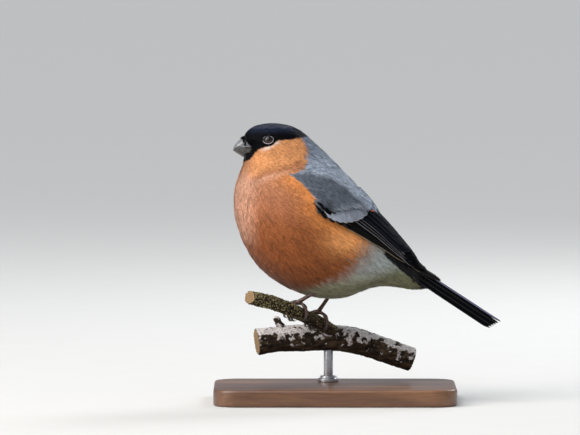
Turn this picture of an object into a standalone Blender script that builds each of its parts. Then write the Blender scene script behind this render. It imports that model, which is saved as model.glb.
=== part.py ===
"""A male bullfinch perched on a cut length of branch, held by a plain display stand.

Metres, +Z up. The bird faces -X and its left side faces -Y. The origin is the middle of
the stand's underside. Sizes below are in millimetres and become metres through MM.
"""

import math
from dataclasses import dataclass

import bmesh
import bpy
from mathutils import Matrix, Vector
from mathutils.bvhtree import BVHTree

MM = 0.001
GAP = 0.3  # between neighbouring pieces
UP = Vector((0, 0, 1))
SIDEWAYS = Vector((0, 1, 0))
SHARP_EDGE = math.radians(50)

# Torso sections from the shoulders to the tip of the under-tail coverts:
# back (x, z), belly (x, z), half width, and how far down the section its widest line lies
TORSO_SECTIONS = [
    (-15.5, 124.0, -39.5, 115.0, 9.5, 0.50),
    (-10.3, 122.3, -44.3, 109.5, 13.5, 0.52),
    (-2.8, 114.5, -47.2, 99.6, 18.5, 0.55),
    (4.8, 108.0, -47.4, 88.5, 22.3, 0.57),
    (10.6, 101.3, -43.2, 75.2, 24.8, 0.58),
    (15.0, 94.8, -35.3, 63.2, 25.6, 0.58),
    (19.0, 87.8, -23.5, 54.5, 24.6, 0.58),
    (22.6, 81.8, -10.0, 49.6, 21.8, 0.58),
    (26.2, 76.2, 2.4, 49.0, 18.0, 0.58),
    (29.8, 71.5, 11.0, 52.0, 14.0, 0.62),
    (33.4, 68.0, 18.6, 54.4, 10.4, 0.66),
    (37.8, 64.4, 27.0, 54.0, 7.8, 0.68),
    (42.8, 60.4, 36.2, 52.8, 5.4, 0.68),
    (46.4, 57.0, 43.0, 51.3, 3.0, 0.60),
]
# Head sections from the bill's base to the back of the head, in the same order
HEAD_SECTIONS = [
    (-42.9, 124.6, -43.0, 114.9, 4.3, 0.50),
    (-41.2, 128.0, -42.6, 111.8, 7.0, 0.50),
    (-37.4, 130.8, -40.2, 109.3, 9.6, 0.52),
    (-31.4, 132.1, -34.5, 107.8, 11.6, 0.53),
    (-24.6, 131.6, -27.0, 107.4, 12.4, 0.53),
    (-18.4, 129.8, -19.4, 109.0, 11.9, 0.52),
    (-13.6, 126.8, -13.4, 112.5, 9.6, 0.50),
    (-10.9, 122.9, -10.4, 116.6, 5.2, 0.50),
]
SECTION_SIDES = 28
HEAD_TURN = math.radians(5)  # towards the bird's left
NECK_PIVOT = Vector((-22.0, 0, 115.0))
BODY_VOXEL = 3.6
DRAPE_VOXEL = 1.1
SMOOTHING = 4  # rounds for the body's voxels, and more for smaller ones

# Thin cuts that part the body: (point x, z) and the direction towards the tail (x, z)
HEAD_CUT = ((-28.0, 117.2), (0.36, -0.93))
NECK_CUT = ((-25.5, 110.8), (0.32, -0.95))
TAIL_CUT = ((25.5, 68.0), (0.84, -0.54))

EYE = Vector((-32.0, 0, 123.5))
EYE_RADIUS = 2.6
EYE_DEPTH = 1.55  # of its centre under the plumage
LID_RADIUS = 2.25
LID_THICKNESS = 0.42
LID_FLATNESS = 0.8
LID_HEIGHT = 1.45  # over the eye's centre

# Bill: (x, upper edge z, mouth line z, lower edge z, half width) from its base to its tip
BILL_STATIONS = [
    (-42.0, 124.9, 119.6, 114.6, 4.5),
    (-43.6, 124.4, 120.0, 115.3, 4.3),
    (-45.2, 123.2, 120.1, 116.3, 3.6),
    (-46.6, 121.7, 119.6, 117.2, 2.5),
    (-47.6, 120.1, 119.0, 118.0, 1.3),
    (-48.2, 118.6, 118.2, 118.1, 0.35),
]
BILL_STEPS = 8
BILL_SQUARENESS = (0.85, 0.9)  # powers below 1 make its section fuller, across and upright

# Tail feathers: six on each side, flat layers that lie under one another down from the middle pair
TAIL_ROOT = Vector((23.0, 0, 69.8))
TAIL_TIP = Vector((76.2, 0, 35.4))
TAIL_PAIRS = 6
TAIL_LAYER = 0.8  # from the top of one layer to the top of the next
TAIL_VANE = 0.5
TAIL_ROOF = 1.5  # how far the closed tail's sides lie below its middle
TAIL_TILT = 0.09  # of the middle pair, which cross each other
TAIL_HALF_WIDTH = 8.5
TAIL_OUTER_EDGES = (5.4, 0.62)  # of the middle pair, and how much further out each next one is
TAIL_INNER_EDGES = (-1.6, 0.35)  # of the middle pair, and of all the others
TAIL_SHAFTS = (0.4, 0.03)  # share of the web outside the middle pair's shaft, and less on each next
TAIL_STEP_BACK = 0.55  # how much sooner each pair ends than the one inside it
TAIL_CORE = (0.0, 0.24)  # the stretch of the tail where the feathers' roots are bound together
TAIL_CORE_INSET = 0.1
TAIL_CLEARANCE = 0.2  # between the closed tail and the wings' tips
VANE_SHARES = (0.0, 0.3, 0.62, 0.84, 0.95, 1.0)
VANE_WIDTHS = (0.7, 0.95, 1.0, 0.88, 0.55, 0.12)
TAIL_WIDTHS = (0.72, 0.82, 0.93, 1.0, 0.9, 0.45)
VANE_THICKNESS = (0.55, 0.5)  # along the shaft, and at the edges

WING_LIFT = 0.65  # least height of a wing over the body
ROOT_LIFT = 1.0
SHAFT_TILT = 0.6  # of the way from a feather's inner edge up to its outer edge
NEAR_MIDDLE = 4.0  # from the middle of the back, where a place off the body is looked for
MIDDLE_STEP = 0.04  # how much further from the middle of the back each feather stays
# Shoulder and small coverts: points down the middle, seen from the side (x, z), and half width
SHOULDER = [
    (-19.2, 106.8, 1.8),
    (-12.5, 103.4, 5.6),
    (-4.0, 100.0, 7.8),
    (5.5, 95.8, 7.6),
    (13.0, 92.4, 4.8),
    (18.5, 88.6, 1.8),
]
SHOULDER_THICKNESS = (0.9, 2.1)  # at its ends, and how much more in its middle
SHOULDER_CROWN = 0.55  # how much thinner it is at its edges

TOE_RADIUS = 0.74
TOE_CLEARANCE = 0.55  # between the twig and the toes
# Toes: how far each reaches round the twig in degrees, and how far it spreads along the twig.
# Three go over the far side and the hind toe comes down the near side.
TOES = [(-170, 0.7), (-150, 4.2), (-152, -3.0), (146, 3.4)]
TOE_START = 0.03  # of the way round, under the foot's pad
TOE_TAPER = (1.1, 0.2)  # thickness at the root, and how much of it goes on the way to the tip
KNUCKLES = (0.13, 3.3)  # their height, and how many there are
CLAW_START = 0.74
CLAW_ARCH = 0.7
CLAW_TAPER = 0.8
PAD_RADIUS = 1.25
SOLE_HEIGHT = 0.9  # of the pad's centre over the toes' undersides
TARSUS_RADIUS = 1.0
# Shin: share of the way up, and thickness there as a share of its radius
SHIN = [(0.02, 1.15), (0.12, 1.0), (0.5, 0.92), (0.85, 1.0), (1.0, 1.25)]
BELLY_GAP = 0.4
TWIG_RADIUS = 3.2
LEFT_GRIP = Vector((-18.6, -8.6, 42.8))  # on the twig's axis under the left foot
RIGHT_GRIP = Vector((-8.8, 4.6, 37.4))
TWIG_GRIP_REACH = 4.0  # the twig is straight for this far on both sides of each foot
TWIG_ENDS = (Vector((-40.0, -34.0, 51.2)), Vector((3.4, 18.4, 28.4)))
TWIG_RISE = 0.8  # of the twig's bend before the left foot
TWIG_SWELL = (-0.1, 0.2, 0.5)  # of its radius at the free end, at the bend and at the branch
LEFT_ANKLE = Vector((-3.6, -13.4, 55.8))
RIGHT_ANKLE = Vector((1.4, 12.4, 54.6))

# Branch: points down its middle, and its radius there
BRANCH_POINTS = [
    (-37.0, 10.0, 27.2, 6.3),
    (-27.0, 12.0, 28.4, 6.0),
    (-15.0, 13.8, 28.9, 6.4),
    (-3.0, 16.4, 28.8, 6.1),
    (8.0, 18.8, 27.6, 6.3),
    (19.0, 21.0, 24.2, 5.8),
    (28.0, 22.6, 20.9, 5.9),
    (37.0, 24.0, 17.8, 5.5),
]
# Broken stub of a side shoot, points as above, and a knot in the bark
STUB_POINTS = [(-23.0, 12.2, 30.0, 2.3), (-27.0, 11.0, 37.2, 1.7), (-28.2, 10.6, 39.0, 1.4)]
KNOT = Vector((14.0, 14.8, 26.5))
KNOT_RADIUS = 3.2
BASE_SIZE = (114.0, 74.0, 8.0)
BASE_CORNER = 12.0
BASE_EDGE = 1.2
ROD_PLACE = (-3.0, 16.4)
ROD_RADIUS = 2.2
ROD_TOP = 28.0  # before it is cut to the branch's underside


def clear_scene():
    for item in list(bpy.data.objects):
        bpy.data.objects.remove(item)


def new_collection(name):
    made = bpy.data.collections.new(name)
    bpy.context.scene.collection.children.link(made)
    return made


def material(name, colour, roughness, metallic=0.0):
    made = bpy.data.materials.new(name)
    made.use_nodes = True
    shader = made.node_tree.nodes["Principled BSDF"]
    shader.inputs["Base Color"].default_value = (*colour, 1)
    shader.inputs["Roughness"].default_value = roughness
    shader.inputs["Metallic"].default_value = metallic
    return made


def mesh_object(mesh, name, collection):
    made = bpy.data.objects.new(name, mesh)
    collection.objects.link(made)
    return made


def object_from(bm, name, collection):
    mesh = bpy.data.meshes.new(name)
    bm.to_mesh(mesh)
    bm.free()
    return mesh_object(mesh, name, collection)


def evaluated_mesh(item):
    graph = bpy.context.evaluated_depsgraph_get()
    mesh = bpy.data.meshes.new_from_object(item.evaluated_get(graph))
    mesh.transform(item.matrix_world)
    return mesh


def largest_body(mesh):
    """Keeps only the closed surface that has the most faces' worth of volume."""
    bm = bmesh.new()
    bm.from_mesh(mesh)
    unseen = set(bm.faces)
    bodies = []
    while unseen:
        reached = [unseen.pop()]
        for face in reached:
            near = {other for edge in face.edges for other in edge.link_faces} & unseen
            unseen -= near
            reached.extend(near)
        bodies.append(reached)
    bodies.sort(key=volume_within, reverse=True)
    for scrap in bodies[1:]:
        bmesh.ops.delete(bm, geom=scrap, context="FACES")
    bm.to_mesh(mesh)
    bm.free()


def volume_within(faces):
    """Six times the volume that a closed set of faces holds."""
    total = 0.0
    for face in faces:
        corners = [vert.co for vert in face.verts]
        for second, third in zip(corners[1:], corners[2:]):
            total += corners[0].dot(second.cross(third))
    return abs(total)


def boolean(item, operation, other, solver="EXACT"):
    """Applies one Boolean with an object or with a whole collection."""
    cut = item.modifiers.new(operation.lower(), "BOOLEAN")
    cut.operation = operation
    cut.solver = solver
    if isinstance(other, bpy.types.Collection):
        cut.operand_type = "COLLECTION"
        cut.collection = other
    else:
        cut.object = other
    mesh = evaluated_mesh(item)
    item.modifiers.remove(cut)
    largest_body(mesh)
    item.data = mesh


def fuse(items, name, collection, finish, solver="EXACT"):
    """Joins closed pieces into one body by one union on a collection, then removes them."""
    body, rest = items[0], items[1:]
    pieces = new_collection("pieces")
    for item in rest:
        collection.objects.unlink(item)
        pieces.objects.link(item)
    boolean(body, "UNION", pieces, solver)
    for item in rest:
        bpy.data.objects.remove(item)
    bpy.data.collections.remove(pieces)
    return finished(body, name, finish)


def finished(item, name, finish):
    item.name = name
    item.data.name = name
    item.data.materials.clear()
    item.data.materials.append(finish)
    item.data.shade_smooth()
    item.data.set_sharp_from_angle(angle=SHARP_EDGE)
    return item


def smooth_rows(rows, steps):
    """The rows with Catmull-Rom rows between them, `steps` for each stretch."""
    rows = [Vector(row) for row in rows]
    ends = [rows[0] * 2 - rows[1], *rows, rows[-1] * 2 - rows[-2]]
    made = []
    for before, start, end, after in zip(ends, ends[1:], ends[2:], ends[3:]):
        for step in range(steps):
            t = step / steps
            made.append(
                0.5
                * (
                    start * 2
                    + (end - before) * t
                    + (before * 2 - start * 5 + end * 4 - after) * t**2
                    + (start * 3 - before - end * 3 + after) * t**3
                )
            )
    return [*made, rows[-1]]


def egg_ring(section):
    """Points round an egg-shaped section of the body."""
    back = Vector((section[0], 0, section[1]))
    belly = Vector((section[2], 0, section[3]))
    half_width, widest = section[4], section[5]
    down = belly - back
    ring = []
    for side in range(SECTION_SIDES):
        angle = 2 * math.pi * side / SECTION_SIDES
        rise = math.cos(angle)
        share = widest - (widest if rise > 0 else 1 - widest) * rise
        ring.append((back + down * share + SIDEWAYS * half_width * math.sin(angle)) * MM)
    return ring


def loft(rings):
    """A closed body through rings that have the same number of points."""
    bm = bmesh.new()
    loops = [[bm.verts.new(point) for point in ring] for ring in rings]
    count = len(loops[0])
    for near, far in zip(loops, loops[1:]):
        for i in range(count):
            j = (i + 1) % count
            bm.faces.new((near[i], near[j], far[j], far[i]))
    bm.faces.new(loops[0][::-1])
    bm.faces.new(loops[-1])
    bmesh.ops.recalc_face_normals(bm, faces=bm.faces)
    return bm


def head_turned(point):
    """A point of the head, in metres, after the head's turn about the neck."""
    pivot = NECK_PIVOT * MM
    return Matrix.Rotation(HEAD_TURN, 3, "Z") @ (Vector(point) - pivot) + pivot


def whole_body(voxel, collection):
    """Head, neck, torso and tail coverts as one smooth form."""
    bm = loft([egg_ring(row) for row in smooth_rows(TORSO_SECTIONS, 3)])
    head = loft([egg_ring(row) for row in smooth_rows(HEAD_SECTIONS, 3)])
    for vert in head.verts:
        vert.co = head_turned(vert.co)
    mesh = bpy.data.meshes.new("head")
    head.to_mesh(mesh)
    head.free()
    bm.from_mesh(mesh)
    body = object_from(bm, "whole_body", collection)
    remesh = body.modifiers.new("remesh", "REMESH")
    remesh.mode = "VOXEL"
    remesh.voxel_size = voxel * MM
    smooth = body.modifiers.new("smooth", "SMOOTH")
    smooth.factor = 0.5
    smooth.iterations = round(SMOOTHING * (BODY_VOXEL / voxel) ** 2)
    body.data = evaluated_mesh(body)
    body.modifiers.clear()
    return body


def side_of(mesh, place, along, side):
    """The part of a closed mesh on one side of a thin cut, with the cut face closed."""
    normal = Vector((along[0], 0, along[1])).normalized() * side
    point = Vector((place[0], 0, place[1])) * MM + normal * GAP / 2 * MM
    bm = bmesh.new()
    bm.from_mesh(mesh)
    cut = bmesh.ops.bisect_plane(
        bm,
        geom=bm.verts[:] + bm.edges[:] + bm.faces[:],
        plane_co=point,
        plane_no=normal,
        clear_inner=True,
    )
    rim = [item for item in cut["geom_cut"] if isinstance(item, bmesh.types.BMEdge)]
    bmesh.ops.holes_fill(bm, edges=rim)
    kept = bpy.data.meshes.new("kept")
    bm.to_mesh(kept)
    bm.free()
    return kept


def tree_of(item):
    return BVHTree.FromObject(item, bpy.context.evaluated_depsgraph_get())


def sphere(centre, radius, collection, segments=12, rings=8):
    bm = bmesh.new()
    bmesh.ops.create_uvsphere(bm, u_segments=segments, v_segments=rings, radius=radius * MM)
    bmesh.ops.translate(bm, verts=bm.verts, vec=centre)
    return object_from(bm, "sphere", collection)


def tube(points, radii, collection, sides=2):
    """A round tube through points in millimetres, closed at both ends."""
    data = bpy.data.curves.new("tube", "CURVE")
    data.dimensions = "3D"
    data.bevel_depth = MM
    data.bevel_resolution = sides
    data.use_fill_caps = True
    spline = data.splines.new("POLY")
    spline.points.add(len(points) - 1)
    for knot, point, radius in zip(spline.points, points, radii):
        knot.co = (*(Vector(point) * MM), 1)
        knot.radius = radius
    curve = bpy.data.objects.new("tube", data)
    collection.objects.link(curve)
    bm = bmesh.new()
    bm.from_mesh(evaluated_mesh(curve))
    bmesh.ops.remove_doubles(bm, verts=bm.verts, dist=1e-6)
    bmesh.ops.recalc_face_normals(bm, faces=bm.faces)
    bpy.data.objects.remove(curve)
    return object_from(bm, "tube", collection)


def grown(item, amount, collection):
    """A copy of a piece, larger all round by some millimetres, for cutting its neighbour."""
    bm = bmesh.new()
    bm.from_mesh(evaluated_mesh(item))
    bm.normal_update()
    moved = [vert.co + vert.normal * amount * MM for vert in bm.verts]
    for vert, place in zip(bm.verts, moved):
        vert.co = place
    return object_from(bm, "cutter", collection)


# Head, with a socket and a raised lid round each eye


def eye_places(tree):
    """The middle of each eye, and the way out of the head there."""
    places = {}
    for name, side in (("left", -1), ("right", 1)):
        out = Matrix.Rotation(HEAD_TURN, 3, "Z") @ (SIDEWAYS * side)
        start = head_turned(EYE * MM)
        hit, normal = tree.ray_cast(start + out * 40 * MM, -out)[:2]
        facing = (out * 2 + normal).normalized()
        places[name] = (hit - facing * EYE_DEPTH * MM, facing)
    return places


def lid_ring(centre, facing, collection):
    """The bare rim of the eyelids, a thin ring that stands on the plumage."""
    bpy.ops.mesh.primitive_torus_add(
        major_radius=LID_RADIUS * MM,
        minor_radius=LID_THICKNESS * MM,
        major_segments=20,
        minor_segments=6,
    )
    ring = bpy.context.object
    mesh = ring.data
    bpy.data.objects.remove(ring)
    place = centre + facing * LID_HEIGHT * MM
    turn = facing.to_track_quat("Z", "Y")
    mesh.transform(Matrix.LocRotScale(place, turn, (1, 1, LID_FLATNESS)))
    return mesh_object(mesh, "lid", collection)


def make_head(mesh, places, parts, finishes):
    head = mesh_object(mesh, "head", parts)
    lids = [lid_ring(centre, facing, parts) for centre, facing in places.values()]
    fuse([head, *lids], "head", parts, finishes["cap"])
    for name, (centre, facing) in places.items():
        socket = sphere(centre, EYE_RADIUS + GAP, parts)
        boolean(head, "DIFFERENCE", socket)
        bpy.data.objects.remove(socket)
        finished(sphere(centre, EYE_RADIUS, parts), f"eye_{name}", finishes["eye"])
    finished(head, "head", finishes["cap"])


def bill_ring(station, upper):
    """Half of the bill's section: a flat side along the mouth line and a rounded one."""
    x, top, mouth, bottom, half_width = station
    edge = mouth + (GAP / 2 if upper else -GAP / 2)
    reach = (top - edge) if upper else (bottom - edge)
    ring = []
    for step in range(BILL_STEPS + 1):
        angle = math.pi * step / BILL_STEPS
        wide = math.copysign(abs(math.cos(angle)) ** BILL_SQUARENESS[0], math.cos(angle))
        high = math.sin(angle) ** BILL_SQUARENESS[1]
        ring.append(Vector((x, half_width * wide, edge + reach * high)))
    return [head_turned(point * MM) for point in ring]


def make_bill(head, parts, finishes):
    shadow = grown(head, GAP, parts)
    stations = smooth_rows(BILL_STATIONS, 2)
    for name, upper in (("bill_upper", True), ("bill_lower", False)):
        last = len(stations) if upper else len(stations) - 1
        rings = [bill_ring(row, upper) for row in stations[:last]]
        piece = object_from(loft(rings), name, parts)
        boolean(piece, "DIFFERENCE", shadow)
        finished(piece, name, finishes["bill"])
    bpy.data.objects.remove(shadow)


# Tail


def tail_frame():
    """The tail's direction and the direction out of its upper side."""
    along = (TAIL_TIP - TAIL_ROOT).normalized()
    return along, SIDEWAYS.cross(along) * -1


def roof(across):
    """How far the tail's upper side lies below its ridge."""
    return TAIL_ROOF * (across / TAIL_HALF_WIDTH) ** 2


def tail_form(stretch, grow, collection):
    """The closed tail's outer form over a stretch of its length, larger all round by `grow`."""
    rise = tail_frame()[1]
    thick = TAIL_LAYER * (TAIL_PAIRS - 1) + TAIL_VANE
    top = (thick + TAIL_ROOF) / 2
    rings = []
    for step in range(5):
        share = stretch[0] + (stretch[1] - stretch[0]) * step / 4
        half = TAIL_HALF_WIDTH * (TAIL_WIDTHS[0] + (1 - TAIL_WIDTHS[0]) * share) + grow
        middle = TAIL_ROOT.lerp(TAIL_TIP, share)
        ring = []
        for column in (-1, -0.7, -0.35, 0, 0.35, 0.7, 1):
            height = top + grow - roof(half * column)
            ring.append((middle + SIDEWAYS * half * column + rise * height) * MM)
        for column in (0.8, 0, -0.8):
            height = top - grow - thick - roof(half * column)
            ring.append((middle + SIDEWAYS * half * column + rise * height) * MM)
        rings.append(ring)
    return object_from(loft(rings), "tail_form", collection)


def tail_vane(pair, side, collection):
    """One tail feather, its layer following the roof shape of the closed tail."""
    along, rise = tail_frame()
    length = (TAIL_TIP - TAIL_ROOT).length - TAIL_STEP_BACK * pair
    top = (TAIL_LAYER * (TAIL_PAIRS - 1) + TAIL_VANE + TAIL_ROOF) / 2 - TAIL_LAYER * pair
    outer_edge = TAIL_OUTER_EDGES[0] + TAIL_OUTER_EDGES[1] * pair
    inner_edge = TAIL_INNER_EDGES[min(pair, 1)]
    shaft = outer_edge - (outer_edge - inner_edge) * (TAIL_SHAFTS[0] - TAIL_SHAFTS[1] * pair)
    outer, inner = [], []
    for share, width in zip(VANE_SHARES, TAIL_WIDTHS):
        middle = TAIL_ROOT + along * length * share
        narrow = TAIL_WIDTHS[0] + (1 - TAIL_WIDTHS[0]) * share
        row_out, row_in = [], []
        for edge in (inner_edge, shaft, outer_edge):
            across = shaft * narrow + (edge - shaft) * width
            height = top - roof(across) + (0 if pair else TAIL_TILT * across)
            point = middle + SIDEWAYS * side * across + rise * height
            row_out.append(point * MM)
            row_in.append((point - rise * TAIL_VANE) * MM)
        outer.append(row_out)
        inner.append(row_in)
    return object_from(slab(outer, inner), "vane", collection)


def make_tail(coverts, parts, finishes):
    core = tail_form(TAIL_CORE, -TAIL_CORE_INSET, parts)
    core.data = side_of(core.data, *TAIL_CUT, 1)
    vanes = []
    for pair in range(TAIL_PAIRS):
        for side in (-1, 1):
            vane = tail_vane(pair, side, parts)
            vane.data = side_of(vane.data, *TAIL_CUT, 1)
            vanes.append(vane)
    fuse([coverts, core, *vanes], "tail", parts, finishes["tail"])


# Wings, laid over the body


class Drape:
    """Finds places on the body at a height over its surface."""

    def __init__(self, form):
        self.tree = tree_of(form)
        self.margin = GAP  # from the middle of the back

    def on_side(self, x, z):
        """The place on the bird's left side that shows at x, z from the side."""
        start = Vector((x, -BASE_SIZE[1], z)) * MM
        hit = self.tree.ray_cast(start, SIDEWAYS)[0]
        return hit or self.tree.find_nearest(Vector((x, -NEAR_MIDDLE, z)) * MM)[0]

    def lifted(self, point, height):
        """The place over the nearest point of the body, kept on the bird's left half."""
        place, normal = self.tree.find_nearest(point)[:2]
        place = place + normal * height * MM
        place.y = min(place.y, -self.margin * MM)
        return place, normal


def draped_strip(drape, path, half_widths, low, rises, crown, collection):
    """A closed strip over the body along points on it, highest along its middle."""
    columns = (-1, -0.5, 0, 0.5, 1)
    outer, inner = [], []
    for index, (point, half_width, rise) in enumerate(zip(path, half_widths, rises)):
        middle, normal = drape.lifted(point, low)
        ahead = path[min(index + 1, len(path) - 1)] - path[max(index - 1, 0)]
        across = ahead.cross(normal).normalized()
        spots = [middle + across * column * half_width * MM for column in columns]
        tops = [low + rise * (1 - crown * column**2) for column in columns]
        outer.append([drape.lifted(spot, top)[0] for spot, top in zip(spots, tops)])
        inner.append([drape.lifted(spot, low)[0] for spot in spots])
    return object_from(slab(outer, inner), "strip", collection)


def slab(outer, inner):
    """A closed sheet between two grids of points, split into triangles alike on both faces."""
    bm = bmesh.new()
    top, bottom = ([[bm.verts.new(point) for point in row] for row in grid] for grid in (outer, inner))
    for rows in (top, bottom):
        for near, far in zip(rows, rows[1:]):
            for i in range(len(near) - 1):
                bm.faces.new((near[i], near[i + 1], far[i]))
                bm.faces.new((near[i + 1], far[i + 1], far[i]))
    rims = [
        ([row[0] for row in top], [row[0] for row in bottom]),
        ([row[-1] for row in top], [row[-1] for row in bottom]),
        (top[0], bottom[0]),
        (top[-1], bottom[-1]),
    ]
    for over, under in rims:
        for i in range(len(over) - 1):
            bm.faces.new((over[i], over[i + 1], under[i + 1], under[i]))
    bmesh.ops.recalc_face_normals(bm, faces=bm.faces)
    return bm


@dataclass
class FeatherGroup:
    """Like feathers of a folded wing, from the outermost to the innermost.

    Roots and tips are lines seen from the side (x, z) that the feathers are spread along evenly.
    """

    count: int
    roots: list
    tips: list
    webs: tuple  # width outside and inside the shaft
    bow: float  # how far the shafts rise over a straight line
    height: float  # of the first feather over the body
    step: float  # how much higher each next one lies
    tilt: float  # how far a feather's outer edge stands higher than its inner edge


FEATHER_GROUPS = [
    # primaries
    FeatherGroup(
        count=7,
        roots=[(-12.5, 95.5), (-4.0, 94.0)],
        tips=[
            (46.0, 58.4),
            (48.6, 57.0),
            (47.6, 58.6),
            (45.0, 61.0),
            (42.4, 63.8),
            (40.0, 66.6),
            (38.0, 69.0),
        ],
        webs=(1.3, 2.6),
        bow=2.6,
        height=0.65,
        step=0.14,
        tilt=0.35,
    ),
    # secondaries
    FeatherGroup(
        count=4,
        roots=[(-4.0, 94.0), (9.5, 94.0)],
        tips=[(37.0, 70.8), (33.6, 74.8)],
        webs=(1.8, 2.8),
        bow=2.0,
        height=1.7,
        step=0.16,
        tilt=0.35,
    ),
    # tertials
    FeatherGroup(
        count=3,
        roots=[(8.5, 93.0), (12.0, 95.5)],
        tips=[(35.6, 71.8), (31.6, 78.8), (26.5, 84.4)],
        webs=(3.0, 3.0),
        bow=1.0,
        height=2.6,
        step=0.3,
        tilt=0.4,
    ),
    # coverts over the primaries' roots
    FeatherGroup(
        count=2,
        roots=[(-13.5, 97.0), (-9.0, 96.0)],
        tips=[(-0.2, 85.2), (3.6, 84.4)],
        webs=(1.2, 1.8),
        bow=0.4,
        height=1.5,
        step=0.15,
        tilt=0.3,
    ),
    # greater coverts
    FeatherGroup(
        count=7,
        roots=[(-9.5, 98.5), (0.0, 97.5), (8.0, 99.0)],
        tips=[(-5.2, 89.6), (2.6, 84.6), (9.2, 85.2), (15.6, 90.0)],
        webs=(1.9, 2.1),
        bow=0.0,
        height=2.5,
        step=0.08,
        tilt=0.3,
    ),
]


def along_line(line, share):
    """The point at a share of the way along a line of evenly spaced points."""
    place = share * (len(line) - 1)
    start = min(int(place), len(line) - 2)
    return Vector(line[start]).lerp(Vector(line[start + 1]), place - start)


def wing_vane(drape, root, tip, group, height, collection):
    """One feather laid over the body from its root to its tip."""
    outer, inner = [], []
    for share, width in zip(VANE_SHARES, VANE_WIDTHS):
        raised = root.lerp(tip, share) + UP * group.bow * 4 * share * (1 - share) * MM
        middle, normal = drape.lifted(raised, 0)
        across = (tip - root).cross(normal).normalized()
        rise = min(1, share / VANE_SHARES[1])
        low = ROOT_LIFT + (height - ROOT_LIFT) * rise
        row_out, row_in = [], []
        for reach, lift, thick in (
            (group.webs[0], group.tilt, VANE_THICKNESS[1]),
            (0, group.tilt * SHAFT_TILT, VANE_THICKNESS[0]),
            (-group.webs[1], 0, VANE_THICKNESS[1]),
        ):
            spot = middle + across * reach * width * MM
            row_in.append(drape.lifted(spot, low + lift * rise)[0])
            row_out.append(drape.lifted(spot, low + lift * rise + thick)[0])
        outer.append(row_out)
        inner.append(row_in)
    return object_from(slab(outer, inner), "vane", collection)


def make_wings(drape, parts, finishes):
    """Each folded wing: feathers in tiers whose roots sink into the shoulder."""
    rows = smooth_rows(SHOULDER, 2)
    path = [drape.on_side(x, z) for x, z, half_width in rows]
    bulge = [math.sin(math.pi * index / (len(rows) - 1)) for index in range(len(rows))]
    rises = [SHOULDER_THICKNESS[0] + SHOULDER_THICKNESS[1] * share for share in bulge]
    half_widths = [row[2] for row in rows]
    shoulder = draped_strip(drape, path, half_widths, WING_LIFT, rises, SHOULDER_CROWN, parts)
    vanes = []
    for group in FEATHER_GROUPS:
        for index in range(group.count):
            share = index / (group.count - 1)
            drape.margin = GAP + MIDDLE_STEP * len(vanes)
            root = drape.on_side(*along_line(group.roots, share))
            tip = drape.on_side(*along_line(group.tips, share))
            height = group.height + group.step * index
            vanes.append(wing_vane(drape, root, tip, group, height, parts))
    left = fuse([shoulder, *vanes], "wing_left", parts, finishes["wing"], "MANIFOLD")
    mirrored(left, "wing_right", parts, finishes["wing"])


def mirrored(item, name, parts, finish):
    bm = bmesh.new()
    bm.from_mesh(item.data)
    for vert in bm.verts:
        vert.co.y = -vert.co.y
    bmesh.ops.reverse_faces(bm, faces=bm.faces)
    return finished(object_from(bm, name, parts), name, finish)


# Legs and feet, which close round the twig


def twig_frame():
    """The twig's direction, the upright across it, and the sideways across it."""
    along = (RIGHT_GRIP - LEFT_GRIP).normalized()
    over = (UP - along * UP.dot(along)).normalized()
    return along, over, along.cross(over).normalized()


def toe(grip, wrap, spread, collection):
    """One toe and its claw, laid round the twig from its top by an angle in degrees."""
    along, over, beside = twig_frame()
    steps = 9
    points, radii = [], []
    for step in range(steps + 1):
        share = step / steps
        angle = math.radians(wrap * (TOE_START + (1 - TOE_START) * share))
        claw = max(0.0, (share - CLAW_START) / (1 - CLAW_START))
        radius = TOE_RADIUS * (TOE_TAPER[0] - TOE_TAPER[1] * share) * (1 - CLAW_TAPER * claw)
        knuckle = 1 + KNUCKLES[0] * math.cos(2 * math.pi * share * KNUCKLES[1]) * (claw == 0)
        arch = CLAW_ARCH * math.sin(math.pi * claw)
        reach = TWIG_RADIUS + TOE_CLEARANCE + radius * (1 + KNUCKLES[0]) + arch
        radial = over * math.cos(angle) + beside * math.sin(angle)
        points.append(grip + along * spread * math.sqrt(share) + radial * reach)
        radii.append(radius * knuckle)
    return tube(points, radii, collection, 1)


def make_leg(name, grip, ankle, belly, parts, finishes):
    """A foot of four toes round the twig, and the scaly shin up into the belly's feathers."""
    over = twig_frame()[1]
    sole = grip + over * (TWIG_RADIUS + TOE_CLEARANCE + SOLE_HEIGHT)
    toes = [toe(grip, wrap, spread, parts) for wrap, spread in TOES]
    pad = sphere(sole * MM, PAD_RADIUS, parts)
    foot = fuse([pad, *toes], f"foot_{name}", parts, finishes["leg"])
    shin = ankle - sole
    points = [sole + shin * share for share, width in SHIN]
    leg = tube(points, [TARSUS_RADIUS * width for share, width in SHIN], parts)
    for neighbour, margin in ((foot, GAP), (belly, BELLY_GAP)):
        cutter = grown(neighbour, margin, parts)
        boolean(leg, "DIFFERENCE", cutter, "MANIFOLD")
        bpy.data.objects.remove(cutter)
    finished(leg, f"leg_{name}", finishes["leg"])


# Perch and stand


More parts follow.
